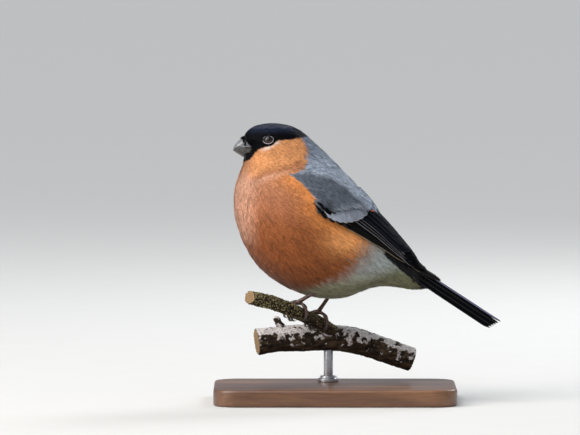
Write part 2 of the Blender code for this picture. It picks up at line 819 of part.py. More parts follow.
def make_perch(parts, finishes):
    along = twig_frame()[0]
    rows = smooth_rows(BRANCH_POINTS, 2)
    branch = tube([row[:3] for row in rows], [row[3] for row in rows], parts, 4)
    stub = tube([row[:3] for row in STUB_POINTS], [row[3] for row in STUB_POINTS], parts)
    knot = sphere(KNOT * MM, KNOT_RADIUS, parts, 10, 6)
    fuse([branch, stub, knot], "perch_branch", parts, finishes["bark"])

    reach = along * TWIG_GRIP_REACH
    line = [
        TWIG_ENDS[0],
        TWIG_ENDS[0].lerp(LEFT_GRIP - reach, 0.5) + UP * TWIG_RISE,
        LEFT_GRIP - reach,
        LEFT_GRIP + reach,
        RIGHT_GRIP - reach,
        RIGHT_GRIP + reach,
        TWIG_ENDS[1],
    ]
    swell = [TWIG_SWELL[0], TWIG_SWELL[1], 0, 0, 0, 0, TWIG_SWELL[2]]
    radii = [TWIG_RADIUS + more for more in swell]
    rows = smooth_rows([(*point, radius) for point, radius in zip(line, radii)], 2)
    twig = tube([row[:3] for row in rows], [row[3] for row in rows], parts, 3)
    cutter = grown(branch, GAP, parts)
    boolean(twig, "DIFFERENCE", cutter)
    finished(twig, "perch_twig", finishes["moss"])

    rod_bottom = BASE_SIZE[2] + GAP
    bm = bmesh.new()
    bmesh.ops.create_cone(
        bm,
        cap_ends=True,
        segments=20,
        radius1=ROD_RADIUS * MM,
        radius2=ROD_RADIUS * MM,
        depth=(ROD_TOP - rod_bottom) * MM,
    )
    middle = Vector((*ROD_PLACE, (ROD_TOP + rod_bottom) / 2)) * MM
    bmesh.ops.translate(bm, verts=bm.verts, vec=middle)
    rod = object_from(bm, "stand_rod", parts)
    boolean(rod, "DIFFERENCE", cutter)
    bpy.data.objects.remove(cutter)
    finished(rod, "stand_rod", finishes["metal"])


def make_base(parts, finishes):
    """A plain plate with round corners and softened edges."""
    bm = bmesh.new()
    bmesh.ops.create_cube(bm, size=1)
    bmesh.ops.scale(bm, verts=bm.verts, vec=Vector(BASE_SIZE) * MM)
    bmesh.ops.translate(bm, verts=bm.verts, vec=(0, 0, BASE_SIZE[2] / 2 * MM))
    upright = [edge for edge in bm.edges if abs(edge.verts[0].co.z - edge.verts[1].co.z) > MM]
    bmesh.ops.bevel(
        bm, geom=upright, offset=BASE_CORNER * MM, segments=6, profile=0.5, affect="EDGES"
    )
    top = [edge for edge in bm.edges if all(v.co.z > (BASE_SIZE[2] - 0.01) * MM for v in edge.verts)]
    bmesh.ops.bevel(bm, geom=top, offset=BASE_EDGE * MM, segments=2, profile=0.5, affect="EDGES")
    base = object_from(bm, "stand_base", parts)
    finished(base, "stand_base", finishes["wood"])


def main():
    clear_scene()
    parts = new_collection("bullfinch")
    finishes = {
        "plumage": material("rosy_plumage", (0.62, 0.25, 0.12), 0.85),
        "cap": material("black_plumage", (0.01, 0.01, 0.015), 0.6),
        "eye": material("eye", (0.01, 0.008, 0.006), 0.05),
        "bill": material("horn", (0.05, 0.05, 0.055), 0.4),
        "wing": material("wing_feather", (0.02, 0.022, 0.03), 0.5),
        "tail": material("tail_feather", (0.01, 0.01, 0.015), 0.45),
        "leg": material("leg_scale", (0.16, 0.09, 0.08), 0.6),
        "bark": material("bark", (0.25, 0.2, 0.15), 0.95),
        "moss": material("mossy_bark", (0.16, 0.14, 0.06), 0.95),
        "metal": material("rod_metal", (0.3, 0.3, 0.32), 0.4, 1.0),
        "wood": material("base_wood", (0.3, 0.18, 0.09), 0.6),
    }

    body = whole_body(BODY_VOXEL, parts)
    front = side_of(body.data, *HEAD_CUT, -1)
    behind = side_of(body.data, *HEAD_CUT, 1)
    neck = side_of(behind, *NECK_CUT, -1)
    trunk = side_of(behind, *NECK_CUT, 1)
    rump = side_of(trunk, *TAIL_CUT, 1)
    torso_mesh = side_of(trunk, *TAIL_CUT, -1)
    finished(mesh_object(neck, "neck", parts), "neck", finishes["plumage"])
    torso = finished(mesh_object(torso_mesh, "torso", parts), "torso", finishes["plumage"])
    make_head(front, eye_places(tree_of(body)), parts, finishes)
    make_bill(bpy.data.objects["head"], parts, finishes)

    coverts = mesh_object(rump, "coverts", parts)
    make_tail(coverts, parts, finishes)

    form = whole_body(DRAPE_VOXEL, parts)
    envelope = tail_form((0.0, 1.0), TAIL_CLEARANCE, parts)
    boolean(form, "UNION", envelope)
    bpy.data.objects.remove(envelope)
    make_wings(Drape(form), parts, finishes)
    bpy.data.objects.remove(form)

    make_leg("left", LEFT_GRIP, LEFT_ANKLE, torso, parts, finishes)
    make_leg("right", RIGHT_GRIP, RIGHT_ANKLE, torso, parts, finishes)
    bpy.data.objects.remove(body)
    make_perch(parts, finishes)
    make_base(parts, finishes)


main()
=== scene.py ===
import math

import bmesh
import bpy
import numpy as np
from mathutils import Matrix, Vector, noise
from mathutils.bvhtree import BVHTree
from mathutils.kdtree import KDTree


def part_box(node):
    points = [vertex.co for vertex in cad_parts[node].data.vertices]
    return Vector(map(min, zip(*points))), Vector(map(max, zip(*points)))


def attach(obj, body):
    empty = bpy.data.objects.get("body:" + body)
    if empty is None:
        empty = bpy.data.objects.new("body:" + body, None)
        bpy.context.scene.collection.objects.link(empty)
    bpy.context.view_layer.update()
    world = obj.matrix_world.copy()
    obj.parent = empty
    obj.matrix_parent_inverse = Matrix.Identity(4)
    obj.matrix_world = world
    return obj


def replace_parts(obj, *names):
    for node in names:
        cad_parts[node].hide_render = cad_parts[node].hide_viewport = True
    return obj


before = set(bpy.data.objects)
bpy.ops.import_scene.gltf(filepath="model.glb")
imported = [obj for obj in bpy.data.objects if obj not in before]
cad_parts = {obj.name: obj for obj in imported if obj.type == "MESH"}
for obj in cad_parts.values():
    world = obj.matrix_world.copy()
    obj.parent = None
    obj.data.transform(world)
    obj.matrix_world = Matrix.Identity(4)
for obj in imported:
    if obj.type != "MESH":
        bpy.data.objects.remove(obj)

# Floor, lamps and camera
# A pale floor under a wide, soft ceiling light, with lamps before the breast, beside the camera
# and behind the back. The camera stands three metres to the bird's left with a long lens.
MM = 0.001
UP = Vector((0, 0, 1))
SIDEWAYS = Vector((0, 1, 0))
CAMERA_AIM = Vector((-21.15, 0, 86.7)) * MM
CAMERA_DISTANCE = 3.0
CAMERA_RISE = math.radians(3)
CAMERA_LENS = 396
FLOOR_RADIUS = 20.0
FLOOR_TONE = (0.62, 0.61, 0.59)
SKY_TONE = (0.80, 0.86, 0.95)
SKY_STRENGTH = 0.42
# Each lamp: name, place, width, watts, colour
LAMPS = [
    ("breast", (-1.1, -0.5, 0.65), 1.0, 15.0, (1.0, 0.96, 0.9)),
    ("front", (-0.3, -1.0, 0.85), 0.4, 2.8, (1.0, 0.98, 0.95)),
    ("back", (0.55, 0.75, 0.75), 0.5, 6.0, (0.92, 0.96, 1.0)),
]
CEILING_WAY = Vector((-0.45, -0.3, 1.0))
CEILING_WIDTH = math.radians(48)
CEILING_STRENGTH = 1.8

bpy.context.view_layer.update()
scene = bpy.context.scene
scene.view_settings.view_transform = "Standard"


def material(name, roughness, **constants):
    """A new material with its shader, whose plain values are set on the shader's own sockets."""
    made = bpy.data.materials.new(name)
    made.use_nodes = True
    shader = made.node_tree.nodes["Principled BSDF"]
    shader.inputs["Roughness"].default_value = roughness
    for socket, value in constants.items():
        shader.inputs[socket.replace("_", " ")].default_value = value
    return made, made.node_tree, shader


def node(tree, kind, links=(), **values):
    """A node with its values set by socket name, and its inputs linked."""
    made = tree.nodes.new(kind)
    for key, value in values.items():
        if hasattr(made, key):
            setattr(made, key, value)
        else:
            made.inputs[key.replace("_", " ")].default_value = value
    for socket, source in dict(links).items():
        tree.links.new(source, made.inputs[socket])
    return made


def ramp(tree, source, stops):
    """A colour ramp over a factor: stops of (place, colour)."""
    made = node(tree, "ShaderNodeValToRGB", {"Fac": source})
    scale = made.color_ramp
    for place, colour in stops[2:]:
        scale.elements.new(place)
    for element, (place, colour) in zip(scale.elements, sorted(stops)):
        element.position = place
        element.color = (*colour, 1)
    return made.outputs["Color"]


def shader_group(name, inputs, outputs):
    """A new shader group with its sockets: its tree, and the sockets at its two ends."""
    made = bpy.data.node_groups.new(name, "ShaderNodeTree")
    for direction, sockets in (("INPUT", inputs), ("OUTPUT", outputs)):
        for socket, kind in sockets.items():
            made.interface.new_socket(socket, in_out=direction, socket_type=f"NodeSocket{kind}")
    return made, made.nodes.new("NodeGroupInput").outputs, made.nodes.new("NodeGroupOutput").inputs


def object_place(tree):
    return node(tree, "ShaderNodeTexCoord").outputs["Object"]


mottling, mottling_in, mottling_out = shader_group(
    "mottling",
    {"Color": "Color", "Scale": "Float", "Least": "Float", "Most": "Float"},
    {"Color": "Color"},
)
mottling_links = {"Vector": object_place(mottling), "Scale": mottling_in["Scale"]}
mottling_noise = node(mottling, "ShaderNodeTexNoise", mottling_links, Detail=3.0).outputs["Fac"]
mottling_links = {"Value": mottling_noise, "To Min": mottling_in["Least"], "To Max": mottling_in["Most"]}
mottling_shade = node(mottling, "ShaderNodeMapRange", mottling_links, From_Min=0.3, From_Max=0.7)
mottling_links = {"Vector": mottling_in["Color"], "Scale": mottling_shade.outputs["Result"]}
mottling_scaled = node(mottling, "ShaderNodeVectorMath", mottling_links, operation="SCALE")
mottling.links.new(mottling_scaled.outputs["Vector"], mottling_out["Color"])


def mottled(tree, tone, scale, least, most):
    """A colour made darker and lighter in patches."""
    made = node(tree, "ShaderNodeGroup", node_tree=mottling, Scale=scale, Least=least, Most=most)
    if isinstance(tone, tuple):
        made.inputs["Color"].default_value = (*tone, 1)
    else:
        tree.links.new(tone, made.inputs["Color"])
    return made.outputs["Color"]


def dressed(tree, shader, colour, height=None, **bump_values):
    """Gives a shader its colour, and a bump from a height."""
    tree.links.new(colour, shader.inputs["Base Color"])
    if height is not None:
        bump = node(tree, "ShaderNodeBump", {"Height": height}, **bump_values)
        tree.links.new(bump.outputs["Normal"], shader.inputs["Normal"])


def paint(red, green, blue):
    """A linear colour from its values on a screen, 0 to 255."""
    screen = np.array((red, green, blue)) / 255
    return tuple(np.where(screen <= 0.04045, screen / 12.92, ((screen + 0.055) / 1.055) ** 2.4).tolist())


def deselect():
    for item in bpy.context.selected_objects:
        item.select_set(False)


def apply_modifiers(item):
    bpy.context.view_layer.objects.active = item
    for modifier in list(item.modifiers):
        bpy.ops.object.modifier_apply(modifier=modifier.name)


def settled(item, name, finish):
    """Applies an object's place and modifiers, names it and makes it ride on the one body."""
    apply_modifiers(item)
    item.data.transform(item.matrix_world)
    item.matrix_world = Matrix.Identity(4)
    item.name = name
    item.data.name = name
    item.data.materials.clear()
    item.data.materials.append(finish)
    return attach(item, "root")


deselect()
bpy.ops.mesh.primitive_circle_add(vertices=96, radius=FLOOR_RADIUS, fill_type="NGON")
floor = bpy.context.object
floor.name = "floor"
floor_finish, floor_tree, floor_shader = material("floor_paper", 0.9)
dressed(floor_tree, floor_shader, mottled(floor_tree, FLOOR_TONE, 40.0, 0.985, 1.0))
floor.data.materials.append(floor_finish)


def aimed(way):
    """The object just added, turned to look along a way."""
    item = bpy.context.object
    item.rotation_euler = way.to_track_quat("-Z", "Y").to_euler()
    return item


for lamp_name, place, width, watts, tint in LAMPS:
    bpy.ops.object.light_add(type="AREA", location=place)
    lamp = aimed(CAMERA_AIM - Vector(place))
    lamp.name = f"lamp_{lamp_name}"
    lamp.data.shape = "DISK"
    lamp.data.size = width
    lamp.data.energy = watts
    lamp.data.color = tint

bpy.ops.object.light_add(type="SUN", location=CEILING_WAY)
ceiling = aimed(-CEILING_WAY)
ceiling.name = "lamp_ceiling"
ceiling.data.angle = CEILING_WIDTH
ceiling.data.energy = CEILING_STRENGTH

world = bpy.data.worlds.new("studio")
world.use_nodes = True
sky = world.node_tree.nodes["Background"].inputs
sky["Color"].default_value = (*SKY_TONE, 1)
sky["Strength"].default_value = SKY_STRENGTH
scene.world = world

camera_way = Vector((0, -math.cos(CAMERA_RISE), math.sin(CAMERA_RISE)))
bpy.ops.object.camera_add(location=CAMERA_AIM + camera_way * CAMERA_DISTANCE)
camera = aimed(-camera_way)
camera.data.lens = CAMERA_LENS
scene.camera = camera

# Skin
# One hide over the head, neck, body, shoulders and root of the tail, so that no seam shows
# between them. It lies under the plumage by the depth of the feathers there.
SKIN_VOXEL = 0.9
SKIN_SMOOTHING = 7
BRIDGE = 0.25  # grown all round, so that neighbouring solids join
# Cuts through the tail and the wings, (x, z) and the way that is left out: what lies before them
# is flesh and shoulder, and the vanes behind them are made below
TAIL_ROOT_CUT = ((41.0, 60.0), (0.84, -0.54))
WING_CUTS = [((-8.0, 91.5), (-0.25, -0.97)), ((9.0, 92.0), (0.85, -0.53))]
# Depth of the plumage by the distance from the bill's base
DEPTH_FROM = (4, 8, 22, 34, 60)
DEPTHS = (-0.2, 0.2, 0.6, 0.8, 0.95)
TAIL_DEPTH = 0.5
TAIL_BLEND = (30, 38)  # x, over which the depth becomes the tail's
# By how much the skin is fuller under the belly's loose feathers, over the bill and down the
# front of the breast, and the heights and places (z, x) over which this comes and goes
BELLY_FLUFF = 0.7
BELLY_FADE = ((58, 74), (8, 30))
BROW_RISE = 1.1
BROW_FADE = ((121, 124), (-41, -34))
BREAST_RISE = 0.6
BREAST_HEIGHTS = (55, 65, 106, 113)
# Loose feathers of back and rump, which fill the hollow under the wings (x, rise)
BACK_RISE = [
    (-14, 0), (-8, 1.3), (-4, 1.8), (4, 1.2), (7, 1.5), (11, 2.5), (14, 2.8), (17, 2.4), (20, 2.2),
    (23, 2.8), (27, 4.3), (30.5, 4.6), (33.6, 4.0), (35.7, 2.7), (38, 0.6), (40, 0),
]
BACK_WIDTHS = (9, 16)  # from the middle, over which the rise fades
BACK_FACING = 0.8  # part of a normal that looks up, from which the rise is full
BILL_BASE = np.array((-44.0, 0, 119.5))
# The head is turned to the bird's left about the neck
HEAD_TURN = math.radians(5)
NECK_PIVOT = np.array((-22.0, 0, 115.0))
# Width of the face beside the gape (x, half width), and the height at which it is narrowest
GAPE_WIDTHS = [(-43, 3.3), (-41, 3.9), (-39.6, 4.5), (-38.6, 5.6), (-37.6, 7.0), (-36.4, 8.7), (-34.5, 13)]
GAPE_LEVEL = 118.8
GAPE_HEIGHT = 4.0
# Fold where the cheek's feathers end over the breast: points from the side (x, z)
FOLD = [(-37.0, 105.5), (-31.0, 108.2), (-25.0, 109.6), (-20.0, 110.8), (-15.5, 112.6)]
FOLD_DEPTH = 0.5
FOLD_WIDTH = 1.6


def merged(name, cuts=(), growth=BRIDGE):
    """A bmesh copy of a CAD node, its loose triangles joined, cut to what is kept, and grown."""
    bm = bmesh.new()
    bm.from_mesh(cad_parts[name].data)
    bmesh.ops.remove_doubles(bm, verts=bm.verts, dist=1e-6)
    for (x, z), (out_x, out_z) in cuts:
        cut = bmesh.ops.bisect_plane(
            bm,
            geom=bm.verts[:] + bm.edges[:] + bm.faces[:],
            plane_co=Vector((x, 0, z)) * MM,
            plane_no=(out_x, 0, out_z),
            clear_outer=True,
        )
        rim = [item for item in cut["geom_cut"] if isinstance(item, bmesh.types.BMEdge)]
        bmesh.ops.holes_fill(bm, edges=rim)
    bm.normal_update()
    for place, vert in [(vert.co + vert.normal * growth * MM, vert) for vert in bm.verts]:
        vert.co = place
    return bm


def joined(sources, name):
    """One object from several bmeshes."""
    mesh = bpy.data.meshes.new(name)
    whole = bmesh.new()
    for bm in sources:
        bm.to_mesh(mesh)
        whole.from_mesh(mesh)
        bm.free()
    whole.to_mesh(mesh)
    whole.free()
    made = bpy.data.objects.new(name, mesh)
    scene.collection.objects.link(made)
    return made


def remeshed(item, voxel, rounds):
    """Rebuilds a piece as one even, closed surface."""
    deselect()
    remesh = item.modifiers.new("remesh", "REMESH")
    remesh.mode = "VOXEL"
    remesh.voxel_size = voxel * MM
    smooth = item.modifiers.new("smooth", "SMOOTH")
    smooth.factor = 0.5
    smooth.iterations = rounds
    apply_modifiers(item)
    item.data.shade_smooth()
    return item


def coordinates(item):
    """An object's vertices in millimetres."""
    points = np.empty(len(item.data.vertices) * 3, np.float32)
    item.data.vertices.foreach_get("co", points)
    return points.reshape(-1, 3).astype(float) / MM


def vertex_normals(item):
    normals = np.empty(len(item.data.vertices) * 3, np.float32)
    item.data.vertex_normals.foreach_get("vector", normals)
    return normals.reshape(-1, 3).astype(float)


def place_vertices(item, points):
    item.data.vertices.foreach_set("co", (points * MM).astype(np.float32).ravel())
    item.data.update()


def tree_of(item):
    return BVHTree.FromObject(item, bpy.context.evaluated_depsgraph_get())


def read_off(line, value):
    """A line of points, read at values of its first number."""
    return np.interp(value, *np.array(line).T)


def bell(value, middle, spread, power=2):
    """1 where a value is at the middle, and fading away over a spread on both sides."""
    return np.exp(-(((value - middle) / spread) ** power))


def far_from_line(points, line):
    """Distance from a line of points (x, z), seen from the side."""
    nearest = np.full(len(points), np.inf)
    flat = points[:, (0, 2)]
    for start, end in zip(np.array(line)[:-1], np.array(line)[1:]):
        way = end - start
        share = np.clip(((flat - start) @ way) / (way @ way), 0, 1)[:, None]
        nearest = np.minimum(nearest, np.linalg.norm(flat - start - share * way, axis=1))
    return nearest


def back_raised(item):
    """Fills out the back and rump of a piece."""
    points, normals = coordinates(item), vertex_normals(item)
    rise = read_off(BACK_RISE, points[:, 0])
    rise *= np.clip(normals[:, 2] / BACK_FACING, 0, 1) * np.interp(np.abs(points[:, 1]), BACK_WIDTHS, (1, 0))
    points[:, 2] += rise
    place_vertices(item, points)
    return item


flesh = ["head", "neck", "torso"]
body = joined([merged(name) for name in flesh + ["tail"]], "body_form")
back_raised(remeshed(body, SKIN_VOXEL, SKIN_SMOOTHING))
body_tree = tree_of(body)
shoulders = [merged(f"wing_{side}", WING_CUTS) for side in ("left", "right")]
whole = [merged(name) for name in flesh] + [merged("tail", [TAIL_ROOT_CUT])] + shoulders
skin = back_raised(remeshed(joined(whole, "skin"), SKIN_VOXEL, SKIN_SMOOTHING))


def turned(points, angle):
    """Points turned about the neck's upright axis."""
    cosine, sine = math.cos(angle), math.sin(angle)
    x, y = points[:, 0] - NECK_PIVOT[0], points[:, 1]
    return np.stack((NECK_PIVOT[0] + x * cosine - y * sine, x * sine + y * cosine, points[:, 2]), axis=1)


skin_points, skin_normals = coordinates(skin), vertex_normals(skin)
skin_x, skin_z = skin_points[:, 0], skin_points[:, 2]
from_bill = np.linalg.norm(skin_points - BILL_BASE, axis=1)
depth = np.interp(from_bill, DEPTH_FROM, DEPTHS) + BRIDGE
tail_depth = np.interp(skin_x, TAIL_BLEND, (DEPTHS[-1], TAIL_DEPTH))
depth = np.where(skin_x > TAIL_BLEND[0], tail_depth, depth)
depth -= BELLY_FLUFF * np.interp(skin_z, BELLY_FADE[0], (1, 0)) * np.interp(skin_x, BELLY_FADE[1], (1, 0))
forward = np.clip(-skin_normals[:, 0], 0, 1)
brow = np.interp(skin_z, BROW_FADE[0], (0, 1)) * np.interp(skin_x, BROW_FADE[1], (1, 0))
depth -= BROW_RISE * brow * forward
depth -= BREAST_RISE * np.interp(skin_z, BREAST_HEIGHTS, (0, 1, 1, 0)) * forward
depth += FOLD_DEPTH * bell(far_from_line(skin_points, FOLD), 0, FOLD_WIDTH)
skin_points = skin_points - skin_normals * depth[:, None]
facing = turned(skin_points, -HEAD_TURN)
narrow = read_off(GAPE_WIDTHS, facing[:, 0])
pinch = bell(facing[:, 2], GAPE_LEVEL, GAPE_HEIGHT, 4) * (facing[:, 0] < GAPE_WIDTHS[-1][0])
width = np.abs(facing[:, 1])
facing[:, 1] = np.sign(facing[:, 1]) * (width + (np.minimum(width, narrow) - width) * pinch)
skin_points = turned(facing, HEAD_TURN)
place_vertices(skin, skin_points)
skin_tree = tree_of(skin)

# Markings
# A cock bullfinch: black cap and face, rosy cheeks and breast, blue-grey nape, back and
# shoulders, white vent and rump. One rule by place colours the skin and the feathers alike. It
# also paints light and shade into them: light on the front, flank and cheek, shade towards the
# belly, in the neck's fold and over the vent, highlights under the eye and the fold, and a sheen on
# the crown.
# Lower edge of the black cap, seen from the side (x, z)
CAP_EDGE = [
    (-47, 112.0), (-43.2, 112.4), (-39.5, 114.3), (-37.3, 117.1), (-35.6, 118.8), (-33, 119.9),
    (-30.9, 120.5), (-28.7, 121.8), (-26.5, 123.1), (-22.2, 123.4), (-17.9, 123.8), (-11.0, 124.6),
]
# Front edge of the grey, from the back of the belly up to the crown (z, x)
GREY_EDGE = [
    (60, 60), (87.5, 60), (88.3, -6.3), (90.5, -8.0), (93, -8.7), (97, -9.1), (102.3, -13.9),
    (107.2, -19.8), (108.2, -18.5), (109.8, -13.2), (113.7, -11.9), (118.4, -11.9), (121.0, -13.2),
    (123.6, -14.8), (127, -15.5),
]
# Front edge of the white vent (z, x), and of the black on the tail's root (x, z)
VENT_EDGE = [
    (48, -17), (52.3, -14.3), (54.7, -6.5), (57, 1.3), (60.9, 8.3), (64.8, 13), (73.4, 16.9), (78, 19),
]
TAIL_SIDE = [(24, 68.8), (24.9, 67.9), (28.4, 64.3), (33.2, 60.7), (35.9, 58), (45.2, 51.4)]
# Edge of the wing's front and lower side, where the rosy feathers turn golden (x, z)
WING_EDGE = [
    (-19.8, 107.2), (-13.9, 102.3), (-9.1, 97), (-8.7, 93), (-8.0, 90.5), (-6.3, 88.3), (-3.6, 86.2),
    (0.3, 83.8), (4.5, 82), (9, 79), (16.5, 75.1), (24.9, 71.2),
]
# Edge between the paler back and the slaty shoulder (x, z)
MANTLE_EDGE = [(-20, 108.3), (-10.4, 108.2), (-1.8, 106.2), (6, 101.0), (11.4, 95.6), (17, 90)]
# Where the small coverts end over the bar and the black of the wing (x, z)
COVERT_LINE = [
    (-14, 88), (-10.6, 89), (-9.3, 93.6), (-6, 94.4), (-4.3, 93.8), (-2.1, 91.6), (0.3, 89.9), (4.4, 90.9),
    (9.9, 91.6), (12.5, 90.6), (14.2, 89.5), (15.6, 89.5), (16.6, 90.5), (17.5, 90.9), (19.5, 89.7),
    (22.5, 87.6),
]
TAIL_END = np.array((80.0, 0, 34.0))
# Rosy tones from the belly up (z, colour): the breast's own rosy, darker towards the belly in
# part as painted shade, and lighter up the breast in part as painted light
ROSY = [
    (48, paint(114, 64, 30)), (60, paint(126, 67, 28)), (72, paint(135, 72, 30)), (82, paint(146, 82, 41)),
    (92, paint(172, 107, 71)), (104, paint(177, 121, 90)), (114, paint(184, 126, 86)),
]
# Golden: partly the breast feathers' own orange, partly painted light where they face up by the wing's edge
GOLDEN = paint(206, 128, 62)
# Painted light: the pale front of the breast, lit from the front and left
PAINTED_FRONT_LIGHT = paint(236, 188, 162)
# Painted light on the flank under the wing's edge
PAINTED_FLANK_LIGHT = paint(240, 164, 98)
# The cheek's own orange, lighter than the breast in part as painted light
CHEEK = paint(222, 152, 96)
# Painted shade in the crease of the neck's fold
FOLD_PAINTED_SHADE = paint(160, 94, 54)
# Painted highlight on the breast just under the fold's ridge
CRESCENT_PAINTED_HIGHLIGHT = paint(222, 172, 144)
# Painted highlight: a pale line at the cheek's top edge under the eye
EYE_PAINTED_HIGHLIGHT = paint(250, 226, 212)
# The vent's white greyed by painted shade; lower down it is darker and olive, painted shade with a painted
# green reflection, and a painted olive shadow band lies low on it, growing towards the tail
WHITE_VENT_IN_PAINTED_SHADE = paint(168, 175, 172)
LOW_VENT_PAINTED_SHADE = paint(136, 135, 108)
OLIVE_PAINTED_SHADOW = paint(92, 94, 66)
NAPE = paint(118, 128, 145)
MANTLE = paint(154, 165, 180)
SLATE = paint(86, 93, 104)
PALE_BAR = paint(132, 138, 149)
CAP = paint(5, 5, 9)
# Painted sheen: the top of the black cap lighter and bluish
CROWN_PAINTED_SHEEN = paint(40, 47, 69)
RUMP_TONE = paint(225, 227, 226)
# Soft borders of the tones: where each starts, or ends if its width is below zero (x, z, or y from
# the middle), and that width
GOLD_WIDTHS = ((78, 92), (4.0, 8.0))  # how far the gold spreads from the wing, by the height
GOLD_TOP = (109, -4)
CHEEK_FRONT = (-40, 8)
CHEEK_FADE = 3
PALE_FRONT_BACK = (-38, -10)
PALE_FRONT_HEIGHTS = ((74, 8), (107, -9))
CRESCENT_DROP = (-2.0, 1.5)  # from the fold
CRESCENT_SPAN = (-28, 8, 4)
FOLD_SHADOW = 1.5
VENT_FADE = (0.8, 17)  # from the vent's edge
VENT_MOTTLE = (1.8, 3.5)  # size of its patches, and how far they carry its edge
LOW_VENT_TOP = (58, -9)
LOW_VENT_SLOPE = 0.15
OLIVE_LINE = (50.5, 0.3, 1.7)  # height, slope and spread of the green shade low on the vent
OLIVE_TAIL = (22, 20)
OLIVE_MOST = 0.7
GREY_FADE = ((106, 110), (0.8, 2.2))  # width of the grey's border, by the height
MANTLE_TOP = (112, -8)
MANTLE_SLOPE = 0.3
SLATE_FADE = 3
SLATE_SIDE = (5, 4)
BAR_TOP = (2.4, -2.6)  # over the line of the coverts
BAR_ENDS = ((0.5, 3), (16, -3))
TAIL_SIDE_FADE = 0.8
RUMP = (24, 1)
RUMP_PALE = ((4.5, -2), (34, -2))
EYE_LINE_DROP = (-0.75, 0.78)  # from the cap's edge
EYE_LINE_SPAN = (-29.6, 4.2, 4)
CAP_FADE = 0.6
CAP_BACK = (-9.1, -0.8)
CROWN_START = (127.6, 4.5)
# Soft round patches: middle and spread along x and along z, and strength
# The flank's patch is painted light
FLANK_LIGHT_PATCH = (7, 10, 76, 6.5, 0.95)
WRIST_PATCH = (-3.5, 4.5, 91.5, 2.5, 0.75)
# Streaks: how many there are round the body, how long they are, and how strong
STREAKS = 40
STREAK_LENGTH = 9.0
STREAK_DEPTH = 0.25
STREAK_FLECKS = 0.5
GREY_FLECKS = 0.55  # on crown, back and shoulders, where short flecks take the streaks' place
GREY_STREAKS = 0.45
SPECKLE = 0.95
# On the cap above this height, the stronger flecks and barb tones are painted glints
CROWN_FROM = 125  # height
# Painted shade: the skin darker than the plumage, as if shaded by the feathers over it
SKIN_PAINTED_SHADE = 0.75


def step(value, place, width):
    """Rises softly from 0 to 1 as a value passes a place, or falls if the width is below zero."""
    share = np.clip((value - place) / width + 0.5, 0, 1)
    return share * share * (3 - 2 * share)


def ahead_of_grey(points):
    return read_off(GREY_EDGE, points[:, 2]) - points[:, 0]


def mixed(tone, colour, mask):
    """Tones with a colour laid over them where the mask is 1."""
    return tone * (1 - mask[:, None]) + np.array(colour) * mask[:, None]


